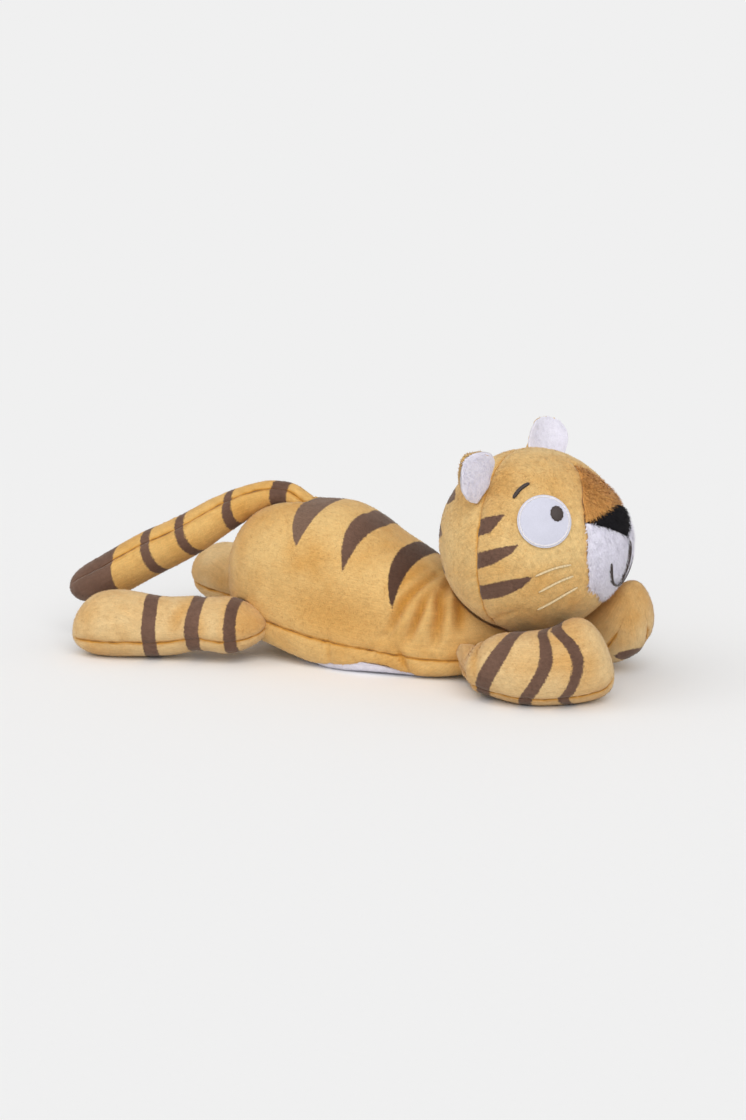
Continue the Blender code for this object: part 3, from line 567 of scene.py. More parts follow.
def makeCloth(name, body, nodes, material, patch, looks):
    # One panel of cloth: grid, seams, shaping, thickness and pile, riding on its body unless it has a
    # crossing
    seams = patch["seams"]
    u, points = layPatch(patch["surface"], patch["u"], patch["v"], seams, patch.get("cell", sewing["cell"]))
    normals = patchNormals(points)
    if ((points - patch["middle"]) * normals).sum() < 0:
        points, normals = points[:, ::-1], -normals[:, ::-1]
        seams = [{"v0": "v1", "v1": "v0"}.get(seam, seam) for seam in seams]
    alongU, alongV = arcs(points, 0), arcs(points, 1)
    edges = {"u0": alongU, "u1": alongU[-1:] - alongU, "v0": alongV, "v1": alongV[:, -1:] - alongV}
    reach = np.full(points.shape[:2], 1.0)
    for seam in seams:
        reach = np.minimum(reach, edges[seam])
    if "plainEnd" in patch:
        reach = reach + sewing["fadeOut"] * fade(1, 0.4, edges["u1"] / patch["plainEnd"])
    base = points.copy()
    move, shadeAndThread = sewShape(base, reach, looks)
    if "shape" in patch:
        # The shape's darkness is the painted shade in its folds
        extra, dark = patch["shape"](base)
        move, shadeAndThread = move + extra, np.maximum(shadeAndThread, dark)
    points = points + normals * move[..., None]
    hidden = reach < looks["bareSeam"]
    for fit in patch.get("fits", ()):
        points, moved = fit(points)
        hidden |= moved
    points[..., 2] = np.maximum(points[..., 2], 0)
    normals = patchNormals(points)
    edge = patch["stripes"](base, u) if "stripes" in patch else np.full(points.shape[:2], -9.0)
    fields = {
        "stripeEdge": np.clip(edge, -9, 9),
        "paintedShadeAndThread": np.clip(shadeAndThread, 0, 2),
        "clothPlace": np.stack((alongU, alongV, np.zeros_like(alongU)), -1),
    }
    spanU, spanV = alongU.mean(1) / alongU.mean(1)[-1], alongV.mean(0) / alongV.mean(0)[-1]
    places = np.stack(np.meshgrid(spanU, spanV, indexing="ij"), -1) * 0.96 + 0.02
    count, quads, tris = closeSheet(points)
    inner = points - normals * looks["thickness"]
    inner[..., 2] = np.maximum(inner[..., 2], 0)
    rim = rimWays(points)
    nap = patch["nap"](base) if "nap" in patch else np.gradient(points, axis=0)
    blades, bladeQuads, bladeTris, bladeFields, bladePlaces, bladeNormals = growPile(
        points, normals, fields, places, hidden, unit(nap), looks["pile"], patch["seed"]
    )
    # The skin between the blades gets the pile's painted shade from low down
    fields["pileTip"] = np.full(points.shape[:2], 0.35)
    places = places.reshape(-1, 2)
    ways = unit(normals + rim).reshape(-1, 3), unit(rim - normals).reshape(-1, 3), bladeNormals
    flat = {label: values.reshape((count,) + values.shape[2:]) for label, values in fields.items()}
    piece = buildMesh(
        name,
        np.concatenate((points.reshape(-1, 3), inner.reshape(-1, 3), blades)),
        np.concatenate((quads, bladeQuads + 2 * count)),
        np.concatenate((tris, bladeTris + 2 * count)),
        {label: np.concatenate((values, values, bladeFields[label])) for label, values in flat.items()},
        np.concatenate((places, places, bladePlaces)),
        np.concatenate(ways),
    )
    finishPiece(piece, body, nodes, material, patch.get("crossing"))


def finishPiece(piece, body, nodes, material, crossing=None):
    piece.data.materials.append(material)
    if crossing:
        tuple(crossing[0])
        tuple(crossing[1])
        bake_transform(piece)
    else:
        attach(piece, body)
    if nodes:
        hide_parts(*nodes)


looksBody = {
    "thickness": 1.2 * mm,
    "seamDepth": 1.5 * mm,
    "seamWidth": 2.2 * mm,
    "seamShade": 0.55,
    "threadShade": 2.0,
    "bareSeam": 0.5 * mm,
    "puckerLength": 4.5 * mm,
    "puckerDepth": 0.7 * mm,
    "lumps": ((26 * mm, 0.55 * mm), (11 * mm, 0.22 * mm), (4 * mm, 0.07 * mm)),
    "pile": {"perSquareCm": 90, "length": 1.5 * mm, "width": 0.40 * mm, "liftDegrees": 24, "mess": 0.45},
}


# Torso

torso = {
    "rump": -84 * mm,
    "length": 194 * mm,
    "height": 97.5 * mm,
    "width": 86 * mm,
    # The larger, the squarer: along the body, at its top and at its underside
    "roundPower": 4.4,
    "topPower": 2.2,
    "underPower": 6.0,
    "restDepth": 0.8 * mm,
    "seamTurn": 4.8 / 22,  # share of a turn, up from the underside
    # Share of the length, then underside, half height and half width as shares
    "profile": (
        (0.00, 0.000, 0.490, 0.46),
        (0.20, 0.068, 0.467, 0.49),
        (0.30, 0.040, 0.477, 0.50),
        (0.41, 0.000, 0.495, 0.50),
        (0.58, 0.000, 0.407, 0.48),
        (0.72, 0.000, 0.342, 0.44),
        (0.86, 0.000, 0.285, 0.38),
        (1.00, 0.000, 0.220, 0.28),
    ),
    # Claw marks in mm: rear and front edge on the ridge, tip, depth down the side, bulge
    "claws": ((-30.6, -11.0, -19.9, 47, 0.0), (8.9, 20.6, 12.3, 52, 2.2), (37.6, 49.6, 44.6, 54, 0.8)),
    # Folds in mm: a route in side view, depth and half width; each also gets painted shade in its hollow. The
    # last one is a broad shallow dip along the flank, there mostly to darken the gold over its middle
    "folds": (
        (((62, 63), (58.5, 57), (51, 46), (46, 37), (40, 25)), 4.2, 3.0),
        (((66, 54), (63, 48), (60.6, 41), (57, 32), (53, 22)), 4.0, 2.3),
        (((70, 60), (71, 52), (72, 43), (71, 32), (69, 22)), 4.6, 2.6),
        (((55, 66), (49, 60), (43, 50)), 1.6, 4.0),
        (((80, 52), (82, 42), (83, 30)), 2.4, 2.6),
        (((2.8, 24), (3.2, 14), (2.0, 4)), 1.2, 1.8),
        (((47, 19), (50, 11), (52, 3)), 2.4, 2.2),
        (((24, 20), (26, 12), (25, 6)), 0.7, 3.0),
        (((-36, 20), (-30, 14), (-22, 9)), 0.8, 4.0),
        (((-24, 40), (8, 34), (46, 28)), 1.3, 13.0),
    ),
    # Swells beside the folds, in the same form
    "swells": (
        (((57, 50), (52, 38), (48, 26)), 1.6, 4.0),
        (((66, 50), (64, 38), (61, 26)), 1.8, 3.5),
        (((76, 56), (76, 40), (75, 26)), 2.0, 3.5),
    ),
    "bellyMiddle": 18 * mm,
    "bellyLength": 102 * mm,
    "bellyWidth": 79.5 * mm,
    # The hollow under the belly panel: its outline's power, where it slopes, depth, height and bare part
    "bellyHollow": {"power": 2.4, "slope": (1.03, 0.88), "depth": 2.8 * mm, "top": 15 * mm, "bare": 1.6 * mm},
    # The dent under the tail: how deep for the tail's thickness, where it starts, where its bare part ends
    "tailDent": {"depth": 1.12, "start": -30 * mm, "bare": -52 * mm},
    # How deep a piece lies in the torso before its pile is left out, and which way the neck makes room
    "hidden": 2.5 * mm,
    "neckWay": (-0.55, 0.0, -0.83),
}
head = {
    "centre": np.array((116 * mm, 0.0, 83 * mm)),
    "radius": 54 * mm,
    # Room between the head and the torso, and between the head and an arm
    "neckGap": 1.5 * mm,
    "armGap": 1.2 * mm,
}
socketGap = 0.6 * mm


def torsoSection(share):
    # Underside, half height and half width as shares, and how far the round ends draw them in
    under, halfHeight, halfWidth = np.moveaxis(readShares(torso["profile"], share), -1, 0)
    swell = np.sqrt(np.maximum(0, 1 - np.abs(2 * share - 1) ** torso["roundPower"]))
    return under, halfHeight, halfWidth, swell


def torsoSurface(u, v):
    share = (1 - np.cos(pi * u)) / 2
    under, halfHeight, halfWidth, swell = (values[:, None] for values in torsoSection(share))
    angle = -pi / 2 + 2 * pi * v[None]
    power = np.where(np.sin(angle) > 0, torso["topPower"], torso["underPower"])
    y = bent(np.cos(angle), power) * halfWidth * torso["width"] * swell
    rise = bent(np.sin(angle), power) * halfHeight * torso["height"] * swell
    x = torso["rump"] + torso["length"] * share[:, None] + 0 * y
    z = (under + halfHeight) * torso["height"] + rise - torso["restDepth"]
    return np.stack((x, y, np.maximum(z, 0)), -1)


def insideTorso(points, margin):
    # Whether points lie inside the torso by the margin
    share = np.clip((points[..., 0] - torso["rump"]) / torso["length"], 0, 1)
    under, halfHeight, halfWidth, swell = torsoSection(share)
    rise = points[..., 2] - (under + halfHeight) * torso["height"]
    halfWidth = np.maximum(halfWidth * torso["width"] * swell - margin, 1e-6)
    halfHeight = np.maximum(halfHeight * torso["height"] * swell - margin, 1e-6)
    power = np.where(rise > 0, torso["topPower"], torso["underPower"])
    return np.abs(points[..., 1] / halfWidth) ** power + np.abs(rise / halfHeight) ** power < 1


def foldedShape(folds, swells):
    def shape(points):
        x, z = points[..., 0] / mm, points[..., 2] / mm
        move, dark = np.zeros(x.shape), np.zeros(x.shape)
        side = fade(4, 14, np.abs(points[..., 1]) / mm)
        wander = 2.2 * softNoise(points, 16 * mm, 41)
        for sign, group in ((-1, folds), (1, swells)):
            for route, depth, half in group:
                away, along = lineDistance(x + wander, z, route)
                taper = np.sin(pi * (0.12 + 0.80 * along)) ** 0.7 * side
                move = move + sign * depth * mm * np.exp(-((away / half) ** 2)) * taper
                if sign < 0:
                    # Painted shade in the fold's hollow, reaching wider than the dent itself
                    shade = min(0.98, depth / 2) * np.exp(-((away / (half * 1.7)) ** 2)) * taper
                    dark = np.maximum(dark, shade)
        return move, dark
    return shape


def torsoStripes(points, u):
    x = points[..., 0] / mm
    around = arcs(points, 1) / mm
    top = np.argmax(points[len(u) // 2, :, 2])
    down = np.abs(around - around[:, top:top + 1])
    marks = []
    for rear, front, tip, depth, bulge in torso["claws"]:
        t = np.clip(down / depth, 0, 1)
        back = rear + (tip - rear) * t**3.2 - bulge * np.sin(pi * t)
        ahead = front + (tip - front) * t**1.3
        marks.append(np.minimum(np.minimum(x - back, ahead - x), (depth - down) * 0.5))
    return np.max(marks, axis=0)


# Limbs and tail: a ball on the joint that runs out along a spine. Where a value is given for 1 and for -1,
# here and further on, it is for the left and for the right one

limbs = {
    "arm": {
        "start": (97 * mm, 43 * mm),
        "way": 1,  # forward
        "reach": 85 * mm,
        "spread": 10 * mm,
        # How far each is turned outward, and how much its far end is lifted
        "swing": {1: radians(-1), -1: 0.0},
        "lift": {1: 0.0, -1: 0.0},
        "thickness": 50 * mm,
        "power": {1: 4.6, -1: 11},  # the larger, the blunter the end
        "seamTurn": 0.125,
        # Share of the reach, then forward, out, underside, half width and half height
        "profile": (
            (0.00, 0.00, 0.0, 0.08, 0.400, 0.400),
            (0.22, 0.22, 0.4, 0.05, 0.435, 0.375),
            (0.45, 0.45, 0.4, 0.00, 0.475, 0.415),
            (0.70, 0.68, -0.4, 0.00, 0.490, 0.462),
            (1.00, 0.93, -2.1, 0.00, 0.490, 0.625),
        ),
        # Rings in mm: the rear edge and the front edge of each, as height and x
        "rings": (
            (((2, 107.0), (13, 110.8), (23, 115.8), (33.5, 121.0), (40, 123.6), (50, 124.5)),
             ((2, 116.0), (8, 118.6), (20.5, 126.0), (31.5, 131.3), (39, 132.5), (50, 133.5))),
            (((2, 134.2), (12, 141.2), (21, 147.0), (33, 148.6), (39, 145.0), (43, 139.0), (50, 134)),
             ((2, 141.6), (12, 149.2), (22.5, 155.0), (33, 155.6), (39, 151.5), (43, 146.0), (50, 140))),
            (((6, 157.0), (13, 162.2), (21, 165.6), (33, 164.0), (40, 156.0), (44, 146), (50, 138)),
             ((5, 162.0), (13, 167.6), (22, 170.8), (34, 169.5), (41, 163.0), (45, 154), (50, 146))),
        ),
        # The root: where it starts to narrow, the widths out it goes between, its press down and its level
        "root": {
            "from": 106 * mm, "to": 78 * mm, "wide": 64 * mm, "narrow": 25 * mm,
            "press": 0.0, "level": 27 * mm,
        },
        # The shoulder sinks under the head: where that starts and ends, by what share, and above which level
        "sink": (124 * mm, 92 * mm, 0.6, 14 * mm),
        # How much smaller and lower than the root its hollow in the torso is
        "hollow": (3.5 * mm, 4.5 * mm),
        # Two places on the limb's line, counted back from the joint
        "crossing": (18 * mm, -6 * mm),
        "stretch": (0, 0),
        # How low the end of the paw hangs, 1 on the floor and -1 level with its top
        "tipDrop": {1: -0.75, -1: 0.30},
        # How far from the tip the seams fade out, before they run together
        "plainEnd": {1: 34 * mm, -1: 13 * mm},
        # The left arm stands higher and fuller, the right one is shorter: growth, rise and shortening
        "raise": {1: (1.03, 4.5 * mm, 0.0), -1: (1.0, 0.0, 4.0 * mm)},
        # One low mark in mm on the inner side of the left arm, and where its outer side starts
        "mark": ((159, 13), (164, 16.5), (170, 18), (175.5, 17), (174, 12), (167, 8), (161, 9)),
        "outerSide": 46 * mm,
        "folds": (
            (((101, 46), (104, 35), (108, 26), (110, 13)), 1.6, 2.0),
            (((118, 48), (122, 40), (121, 32)), 0.8, 3.0),
            (((82, 52), (88, 42), (94, 32), (96, 24)), 1.6, 3.0),
            (((72, 40), (76, 32), (79, 22)), 1.2, 3.0),
        ),
    },
    "leg": {
        "start": (-66 * mm, 45 * mm),
        "way": -1,  # backward
        "reach": 92 * mm,
        "spread": 27 * mm,
        "swing": {1: radians(2.5), -1: 0.0},
        "lift": {1: 9 * mm, -1: 0.0},
        "thickness": 43 * mm,
        "power": {1: 8, -1: 8},
        "seamTurn": 0.185,
        "profile": (
            (0.00, 0.00, 0.00, 0.06, 0.470, 0.470),
            (0.18, 0.18, 0.18, 0.13, 0.440, 0.400),
            (0.38, 0.38, 0.38, 0.06, 0.430, 0.415),
            (0.72, 0.72, 0.72, 0.00, 0.510, 0.490),
            (1.00, 1.00, 1.00, 0.00, 0.500, 0.490),
        ),
        # Rings in mm, as distances along the leg, and how much nearer the hip each leg's are
        "rings": ((-11, -4), (11.5, 20), (39.3, 48.2)),
        "ringShift": {1: 5, -1: 0},
        "root": {
            "from": -92 * mm, "to": -66 * mm, "wide": 0.0, "narrow": 0.0,
            "press": 0.14, "level": 22 * mm,
        },
        "sink": (-80 * mm, -50 * mm, 0.0, 14 * mm),
        "hollow": (0.0, 0.0),
        # How much the hip's front runs on, forward and inward
        "stretch": (15, 11),
        "crossing": (14 * mm, -6 * mm),
        "tipDrop": {1: 0.4, -1: 0.4},
        "plainEnd": {1: 12 * mm, -1: 12 * mm},
        "raise": {1: (1.0, 0.0, 0.0), -1: (1.0, 0.0, 0.0)},
        "folds": (
            (((-80, 40), (-84, 30), (-85, 20)), 1.2, 3.0),
            (((-75, 34), (-71, 24), (-72, 14)), 1.0, 2.6),
        ),
    },
}
tail = {
    "pivot": (-34.5 * mm, 90.5 * mm),
    "reach": 149 * mm,
    "drop": 59.5 * mm,
    "swing": 37 * mm,
    "thickness": 27 * mm,
    "power": 16,
    # Share of the reach, then back, down, across and half thickness
    "profile": (
        (0.00, 0.00, 0.00, 0.00, 0.278),
        (0.07, 0.07, -0.10, 0.02, 0.280),
        (0.14, 0.14, -0.11, 0.08, 0.300),
        (0.24, 0.24, -0.03, 0.16, 0.360),
        (0.33, 0.33, 0.09, 0.25, 0.430),
        (0.50, 0.50, 0.37, 0.46, 0.505),
        (0.66, 0.66, 0.58, 0.66, 0.520),
        (0.82, 0.82, 0.82, 0.84, 0.520),
        (1.00, 1.00, 1.03, 1.00, 0.490),
    ),
    # Rings in mm: front and rear edge at the top, then at the bottom, on the near side
    "rings": (
        (-43.6, -54, -43.6, -54), (-79.5, -84, -73.2, -79.5), (-109.4, -114.7, -96.3, -101.5),
        (-129.6, -135.2, -118, -124), (-151.3, -250, -146.3, -250),
    ),
    "plainEnd": 15 * mm,
}


def limbSpine(kind, hand):
    looks = limbs[kind]
    swing, lift = looks["swing"][hand], looks["lift"][hand]

    def spine(share):
        along, out, under, halfWidth, halfHeight = np.moveaxis(readShares(looks["profile"], share), -1, 0)
        run, off = along * looks["reach"], out * looks["spread"]
        centre = np.stack((
            looks["start"][0] + looks["way"] * (run * cos(swing) - off * sin(swing)),
            hand * (looks["start"][1] + run * sin(swing) + off * cos(swing)),
            (under + halfHeight) * looks["thickness"] + along * lift - torso["restDepth"],
        ), -1)
        return centre, halfWidth * looks["thickness"], halfHeight * looks["thickness"]

    return spine


def tailSpine(share):
    back, drop, across, half = np.moveaxis(readShares(tail["profile"], share), -1, 0)
    centre = np.stack((
        tail["pivot"][0] - back * tail["reach"],
        -across * tail["swing"],
        tail["pivot"][1] - drop * tail["drop"],
    ), -1)
    return centre, half * tail["thickness"], half * tail["thickness"]


def sweptSurface(spine, power, tipDrop=0.0):
    # The ball is u from -1 to 0, and the spine u from 0 to 1
    pivot, rootRadius, _ = spine(np.array((0.0,)))
    rootHeading = unit(spine(np.array((0.001,)))[0] - pivot)

    def surface(u, v):
        share, root = np.clip(u, 0, 1), (u < 0)[:, None]
        turn = (np.clip(u, -1, 0)[:, None] + 1) * pi / 2
        centre, halfWidth, halfHeight = spine(share)
        ahead, behind = spine(np.minimum(1, share + 0.001))[0], spine(np.maximum(0, share - 0.001))[0]
        heading = np.where(root, rootHeading, unit(ahead - behind))
        centre = np.where(root, pivot - rootHeading * rootRadius * np.cos(turn), centre)
        swell = np.where(root, np.sin(turn), np.sqrt(np.maximum(0, 1 - share**power))[:, None])
        halfWidth = np.where(root, rootRadius, halfWidth[:, None]) * swell
        halfHeight = np.where(root, rootRadius, halfHeight[:, None]) * swell
        sideWay = unit(np.cross(up, heading))
        topWay = np.cross(heading, sideWay)
        full = np.where(root, halfHeight, spine(share)[2][:, None])
        centre = centre - topWay * (full - halfHeight) * tipDrop
        angle = -pi / 2 + 2 * pi * v[None]
        points = (
            centre[:, None]
            + sideWay[:, None] * (np.cos(angle) * halfWidth)[..., None]
            + topWay[:, None] * (np.sin(angle) * halfHeight)[..., None]
        )
        points[..., 2] = np.maximum(points[..., 2], 0)
        return points

    return surface


def leaveHeadDown(points):
    return leaveBall(points, head["centre"], head["radius"] + head["armGap"], -up)


def hideInTorso(points):
    return points, insideTorso(points, torso["hidden"])


def rootShape(kind, hand, surface):
    # Narrows an arm's root and sinks its shoulder, presses and draws out a hip, raises or shortens an arm
    looks, root = limbs[kind], limbs[kind]["root"]
    pivot, radius, _ = limbSpine(kind, hand)(np.array((0.0,)))
    start, end = root["from"], root["to"]
    first, last, depth, level = looks["sink"]
    grow, rise, back = looks["raise"][hand]

    def warped(u, v):
        points = surface(u, v)
        share = np.clip((points[..., 0] - start) / (end - start), 0, 1)
        points[..., 2] += (root["level"] - points[..., 2]) * fade(0, 1, share) * root["press"]
        sunk = depth * fade(0, 1, (points[..., 0] - first) / (last - first))
        points[..., 2] -= np.maximum(0, points[..., 2] - level) * sunk
        if root["wide"]:
            behind = np.minimum(points[..., 0] - pivot[0, 0], 0)
            half = np.sqrt(np.maximum(radius[0] ** 2 - behind**2, 1e-10))
            inner, outer = abs(pivot[0, 1]) - half, abs(pivot[0, 1]) + half
            limit = root["wide"] + (root["narrow"] - root["wide"]) * share
            low = np.minimum(inner, limit - 0.35 * (outer - inner))
            off = (np.abs(points[..., 1]) - inner) / (outer - inner) * (np.minimum(limit, outer) - low)
            points[..., 1] = np.where(share > 0, hand * (low + off), points[..., 1])
        beyond = np.maximum(0, (pivot[0, 0] - points[..., 0]) * looks["way"])
        points[..., 0] -= looks["way"] * looks["stretch"][0] * beyond**2
        points[..., 1] -= hand * looks["stretch"][1] * beyond**2
        far = np.clip(np.abs(points[..., 0] - pivot[0, 0]) / looks["reach"], 0, 1)
        points[..., 2] = points[..., 2] * (1 + (grow - 1) * far) + rise * far
        points[..., 0] -= looks["way"] * back * far**3
        return points

    return warped


def makeLimb(kind, hand):
    looks = limbs[kind]
    side = sideName(hand)
    spine = limbSpine(kind, hand)
    pivot, far = spine(np.array((0.0,)))[0][0], spine(np.array((1.0,)))[0][0]
    axis = unit((far - pivot) * (1, 1, 0))

    def armRings(points, u):
        x, z = points[..., 0] / mm, points[..., 2] / mm
        marks = []
        for ring in looks["rings"]:
            back, ahead = (readShares(edge, np.clip(z, edge[0][0], edge[-1][0]))[..., 0] for edge in ring)
            marks.append(np.minimum(x - back, ahead - x) * 0.85)
        best = np.max(marks, axis=0)
        if hand > 0:
            best = np.where(points[..., 1] > looks["outerSide"], best, insideOutline(x, z, looks["mark"]))
        return best

    def legRings(points, u):
        waver = 1.2 * softNoise(points, 15 * mm, 77)
        along = ((points - pivot) @ axis) / mm + waver + looks["ringShift"][hand]
        return np.max([np.minimum(along - start, end - along) for start, end in looks["rings"]], axis=0)

    patch = {
        "plainEnd": looks["plainEnd"][hand],
        "surface": rootShape(kind, hand, sweptSurface(spine, looks["power"][hand], looks["tipDrop"][hand])),
        "u": (-1, 0, 1), "seams": ("v0", "v1"),
        "crossing": [tuple(pivot - looks["way"] * np.array((at, 0, 0))) for at in looks["crossing"]],
        "middle": (pivot + far) / 2, "fits": [hideInTorso] + ([leaveHeadDown] if kind == "arm" else []),
        "stripes": armRings if kind == "arm" else legRings, "shape": foldedShape(looks["folds"], ()),
        "nap": evenNap(axis - 0.3 * up),
    }
    low = looks["seamTurn"]
    for label, vMarks, nodes, seed in (
        ("upper", (low, 0.5, 1 - low), ["upper_panel", "stuffing"], 11),
        ("under", (-low, low), ["under_panel"], 12),
    ):
        limb = f"{kind}_{side}"
        makeCloth(
            f"{kind}{side.title()}{label.title()}Cloth", limb, [f"{limb}_{node}" for node in nodes],
            materials["limb"], {**patch, "v": vMarks, "seed": seed + hand + len(kind)},
            looksBody,
        )


for kind in ("arm", "leg"):
    for hand in (-1, 1):
        makeLimb(kind, hand)
print("limbs done")


def makeTail():
    def rings(points, u):
        # Each ring leans back at its top, as measured on the near side
        heart, half, _ = tailSpine(np.clip(u, 0, 1))
        rise = np.clip((points[..., 2] - heart[:, None, 2]) / half[:, None], -1, 1) / 2 + 0.5
        x = points[..., 0] / mm
        marks = []
        for frontTop, rearTop, frontLow, rearLow in tail["rings"]:
            front = frontTop * rise + frontLow * (1 - rise)
            rear = rearTop * rise + rearLow * (1 - rise)
            marks.append(np.minimum(front - x, x - rear) * 0.85)
        return np.max(marks, axis=0)

    middle = tailSpine(np.linspace(0, 1, 80))[0].mean(0)
    for side, vMarks, nodes in (
        ("right", (-0.15, 0.35), ["tail_right_panel", "tail_stuffing"]),
        ("left", (0.35, 0.85), ["tail_left_panel"]),
    ):
        makeCloth(
            f"tail{side.title()}Cloth", "tail", nodes, materials["tail"],
            {"surface": sweptSurface(tailSpine, tail["power"]), "u": (-1, 0, 1), "v": vMarks,
             "seams": ("v0", "v1"), "middle": middle, "fits": [hideInTorso], "stripes": rings, "seed": 31,
             "plainEnd": tail["plainEnd"]},
            looksBody,
        )


makeTail()
print("tail done")


# Torso panels, with hollows for the head, limbs and tail

def leaveHead(points):
    way = unit(np.array(torso["neckWay"]))
    return leaveBall(points, head["centre"], head["radius"] + head["neckGap"], way)


def leaveRoot(kind, hand):
    pivot, radius, _ = limbSpine(kind, hand)(np.array((0.0,)))

    def fit(points):
        smaller, lower = limbs[kind]["hollow"]
        reach = radius[0] + socketGap - smaller
        way = np.array((0.0, -hand, 0.0))
        return leaveBall(points, pivot[0] - up * lower, reach, way, limbs[kind]["root"]["press"])

    return fit


def leaveTail(points):
    # Presses the rump down under the tail
    centre, radius, _ = tailSpine(np.linspace(0, 1, 160))
    order = np.argsort(centre[:, 0])
    x = points[..., 0]
    y, z, reach = (
        np.interp(x, centre[order, 0], values[order]) for values in (*centre.T[1:], radius)
    )
    reach = reach + socketGap
    dent = torso["tailDent"]
    low = z - np.sqrt(np.maximum(0, reach**2 - (points[..., 1] - y) ** 2)) * dent["depth"]
    inside = (np.abs(points[..., 1] - y) < reach) & (points[..., 2] > low) & (x < dent["start"])
    moved = points.copy()
    moved[..., 2] = np.where(inside, low, points[..., 2])
    return moved, inside & (x > dent["bare"])


def pressBelly(points):
    # Makes room for the belly panel
    x = (points[..., 0] - torso["bellyMiddle"]) / (torso["bellyLength"] / 2)
    y = points[..., 1] / (torso["bellyWidth"] / 2)
    hollow = torso["bellyHollow"]
    away = np.abs(x) ** hollow["power"] + np.abs(y) ** hollow["power"]
    depth = hollow["depth"] * fade(*hollow["slope"], away) * (points[..., 2] < hollow["top"])
    way = unit(np.stack((0 * x, -np.sign(y) * np.abs(y) ** 5, np.full(x.shape, 0.8)), -1))
    return points + way * depth[..., None], depth > hollow["bare"]


def makeTorso():
    turn = torso["seamTurn"]
    fits = [leaveTail, leaveHead] + [leaveRoot(kind, hand) for kind in ("arm", "leg") for hand in (-1, 1)]
    patch = {
        "surface": torsoSurface, "u": (0, 1), "seams": ("v0", "v1"), "nap": evenNap((-1.0, 0.0, -0.25)),
        "middle": np.array((10 * mm, 0.0, 40 * mm)),
    }
    body = {**patch, "shape": foldedShape(torso["folds"], torso["swells"])}
    makeCloth(
        "torsoUpperCloth", "torso", ["torso_upper_panel", "torso_stuffing"],
        materials["torso"],
        {**body, "v": (turn, 0.5, 1 - turn), "fits": fits, "stripes": torsoStripes, "seed": 41},
        looksBody,
    )
    makeCloth(
        "torsoUnderCloth", "torso", ["torso_under_panel"], materials["honey"],
        {**body, "v": (-turn, turn), "fits": fits[1:] + [pressBelly], "seed": 42}, looksBody,
    )
    makeCloth(
        "bellyCloth", "torso", ["belly_panel"], materials["white"],
        {**patch, "surface": bellySurface, "v": (0, 1), "cell": 2 * mm, "seed": 43,
         "middle": np.array((torso["bellyMiddle"], 0.0, 40 * mm))},
        {**looksBody, "seamDepth": 1.0 * mm},
    )


def bellySurface(u, v):
    # The underside inside an oval: u runs along the body and v across it
    x = torso["bellyMiddle"] - torso["bellyLength"] / 2 * np.cos(pi * u)[:, None]
    y = torso["bellyWidth"] / 2 * (np.maximum(0, np.sin(pi * u)) ** 0.8)[:, None] * (2 * v - 1)[None]
    x = x + 0 * y
    share = (x - torso["rump"]) / torso["length"]
    under, halfHeight, halfWidth, swell = torsoSection(share)
    flank = np.clip(np.abs(y) / (halfWidth * torso["width"] * swell), 0, 0.999)
    rise = (1 - flank ** torso["underPower"]) ** (1 / torso["underPower"])
    z = (under + halfHeight - rise * halfHeight * swell) * torso["height"] - torso["restDepth"]
    return np.stack((x, y, np.maximum(z, 0)), -1)


makeTorso()
print("torso done")


# Head: a ball whose face is tipped up, mapped by arc lengths from the middle of the face

head.update({
    "tip": radians(15),
    "muzzleSwell": 6 * mm,
    "muzzleAngle": radians(3),
    "muzzleSpread": radians(50),
    "crownBack": 11.7 * mm,
    # The middle strip and the nose in mm on the map: across, then up
    "strip": ((0.0, 43.4), (22.0, 20.0), (27.5, 7.2), (31.0, -13.0), (26.6, -32.0), (0.0, -48.0)),
    "nose": ((0.0, 11.0), (27.5, 7.2), (0.0, -7.2)),
    # Stripes in mm in side view, on the cheek and behind the crown seam
    "stripes": (
        ((102, 92.8), (112.8, 96.8), (120.3, 107.5), (110, 105.2), (102, 102.5)),
        ((102, 73.6), (115.3, 78.9), (126.1, 85.8), (130.2, 91.4), (119.4, 89.2), (102, 83.4)),
        ((102, 54.4), (120.6, 60.1), (131.6, 66.4), (138.8, 73.6), (124.5, 70.9), (102, 63.5)),
    ),
    "backStripes": (
        ((60, 103), (74, 105), (82, 110), (78, 113), (60, 113)),
        ((50, 82), (68, 84), (75, 89), (70, 92), (50, 92)),
        ((50, 61), (68, 62), (76, 66), (70, 70), (50, 70)),
    ),
    # Where the cheek stripes start in mm, and how far they stay from the middle
    "stripesFrom": 100,
    "stripesApart": 16 * mm,
    "folds": ((((105, 40), (112.6, 46), (120.6, 49), (130.6, 53.5)), 0.9, 1.4),),
})
faceAxis = np.array((cos(head["tip"]), 0.0, sin(head["tip"])))
faceUp = np.array((-sin(head["tip"]), 0.0, cos(head["tip"])))
faceLeft = np.array((0.0, 1.0, 0.0))
muzzleAxis = np.array((cos(head["muzzleAngle"]), 0.0, sin(head["muzzleAngle"])))


def headPoint(way, lift=0.0):
    # The head's surface in directions from its middle
    off = np.arccos(np.clip(way @ muzzleAxis, -1, 1))
    swell = head["muzzleSwell"] * (1 + np.cos(pi * np.minimum(1, off / head["muzzleSpread"]))) / 2
    return head["centre"] + way * (head["radius"] + swell + lift)[..., None]


def faceWay(tilt, turn):
    tilt, turn = np.asarray(tilt), np.asarray(turn)
    return (
        faceAxis * np.cos(tilt)[..., None]
        + faceUp * (np.sin(tilt) * np.cos(turn))[..., None]
        + faceLeft * (np.sin(tilt) * np.sin(turn))[..., None]
    )


def mapWay(across, rise):
    # Directions from arc lengths on the face
    return faceWay(np.hypot(across, rise) / head["radius"], np.arctan2(across, rise))


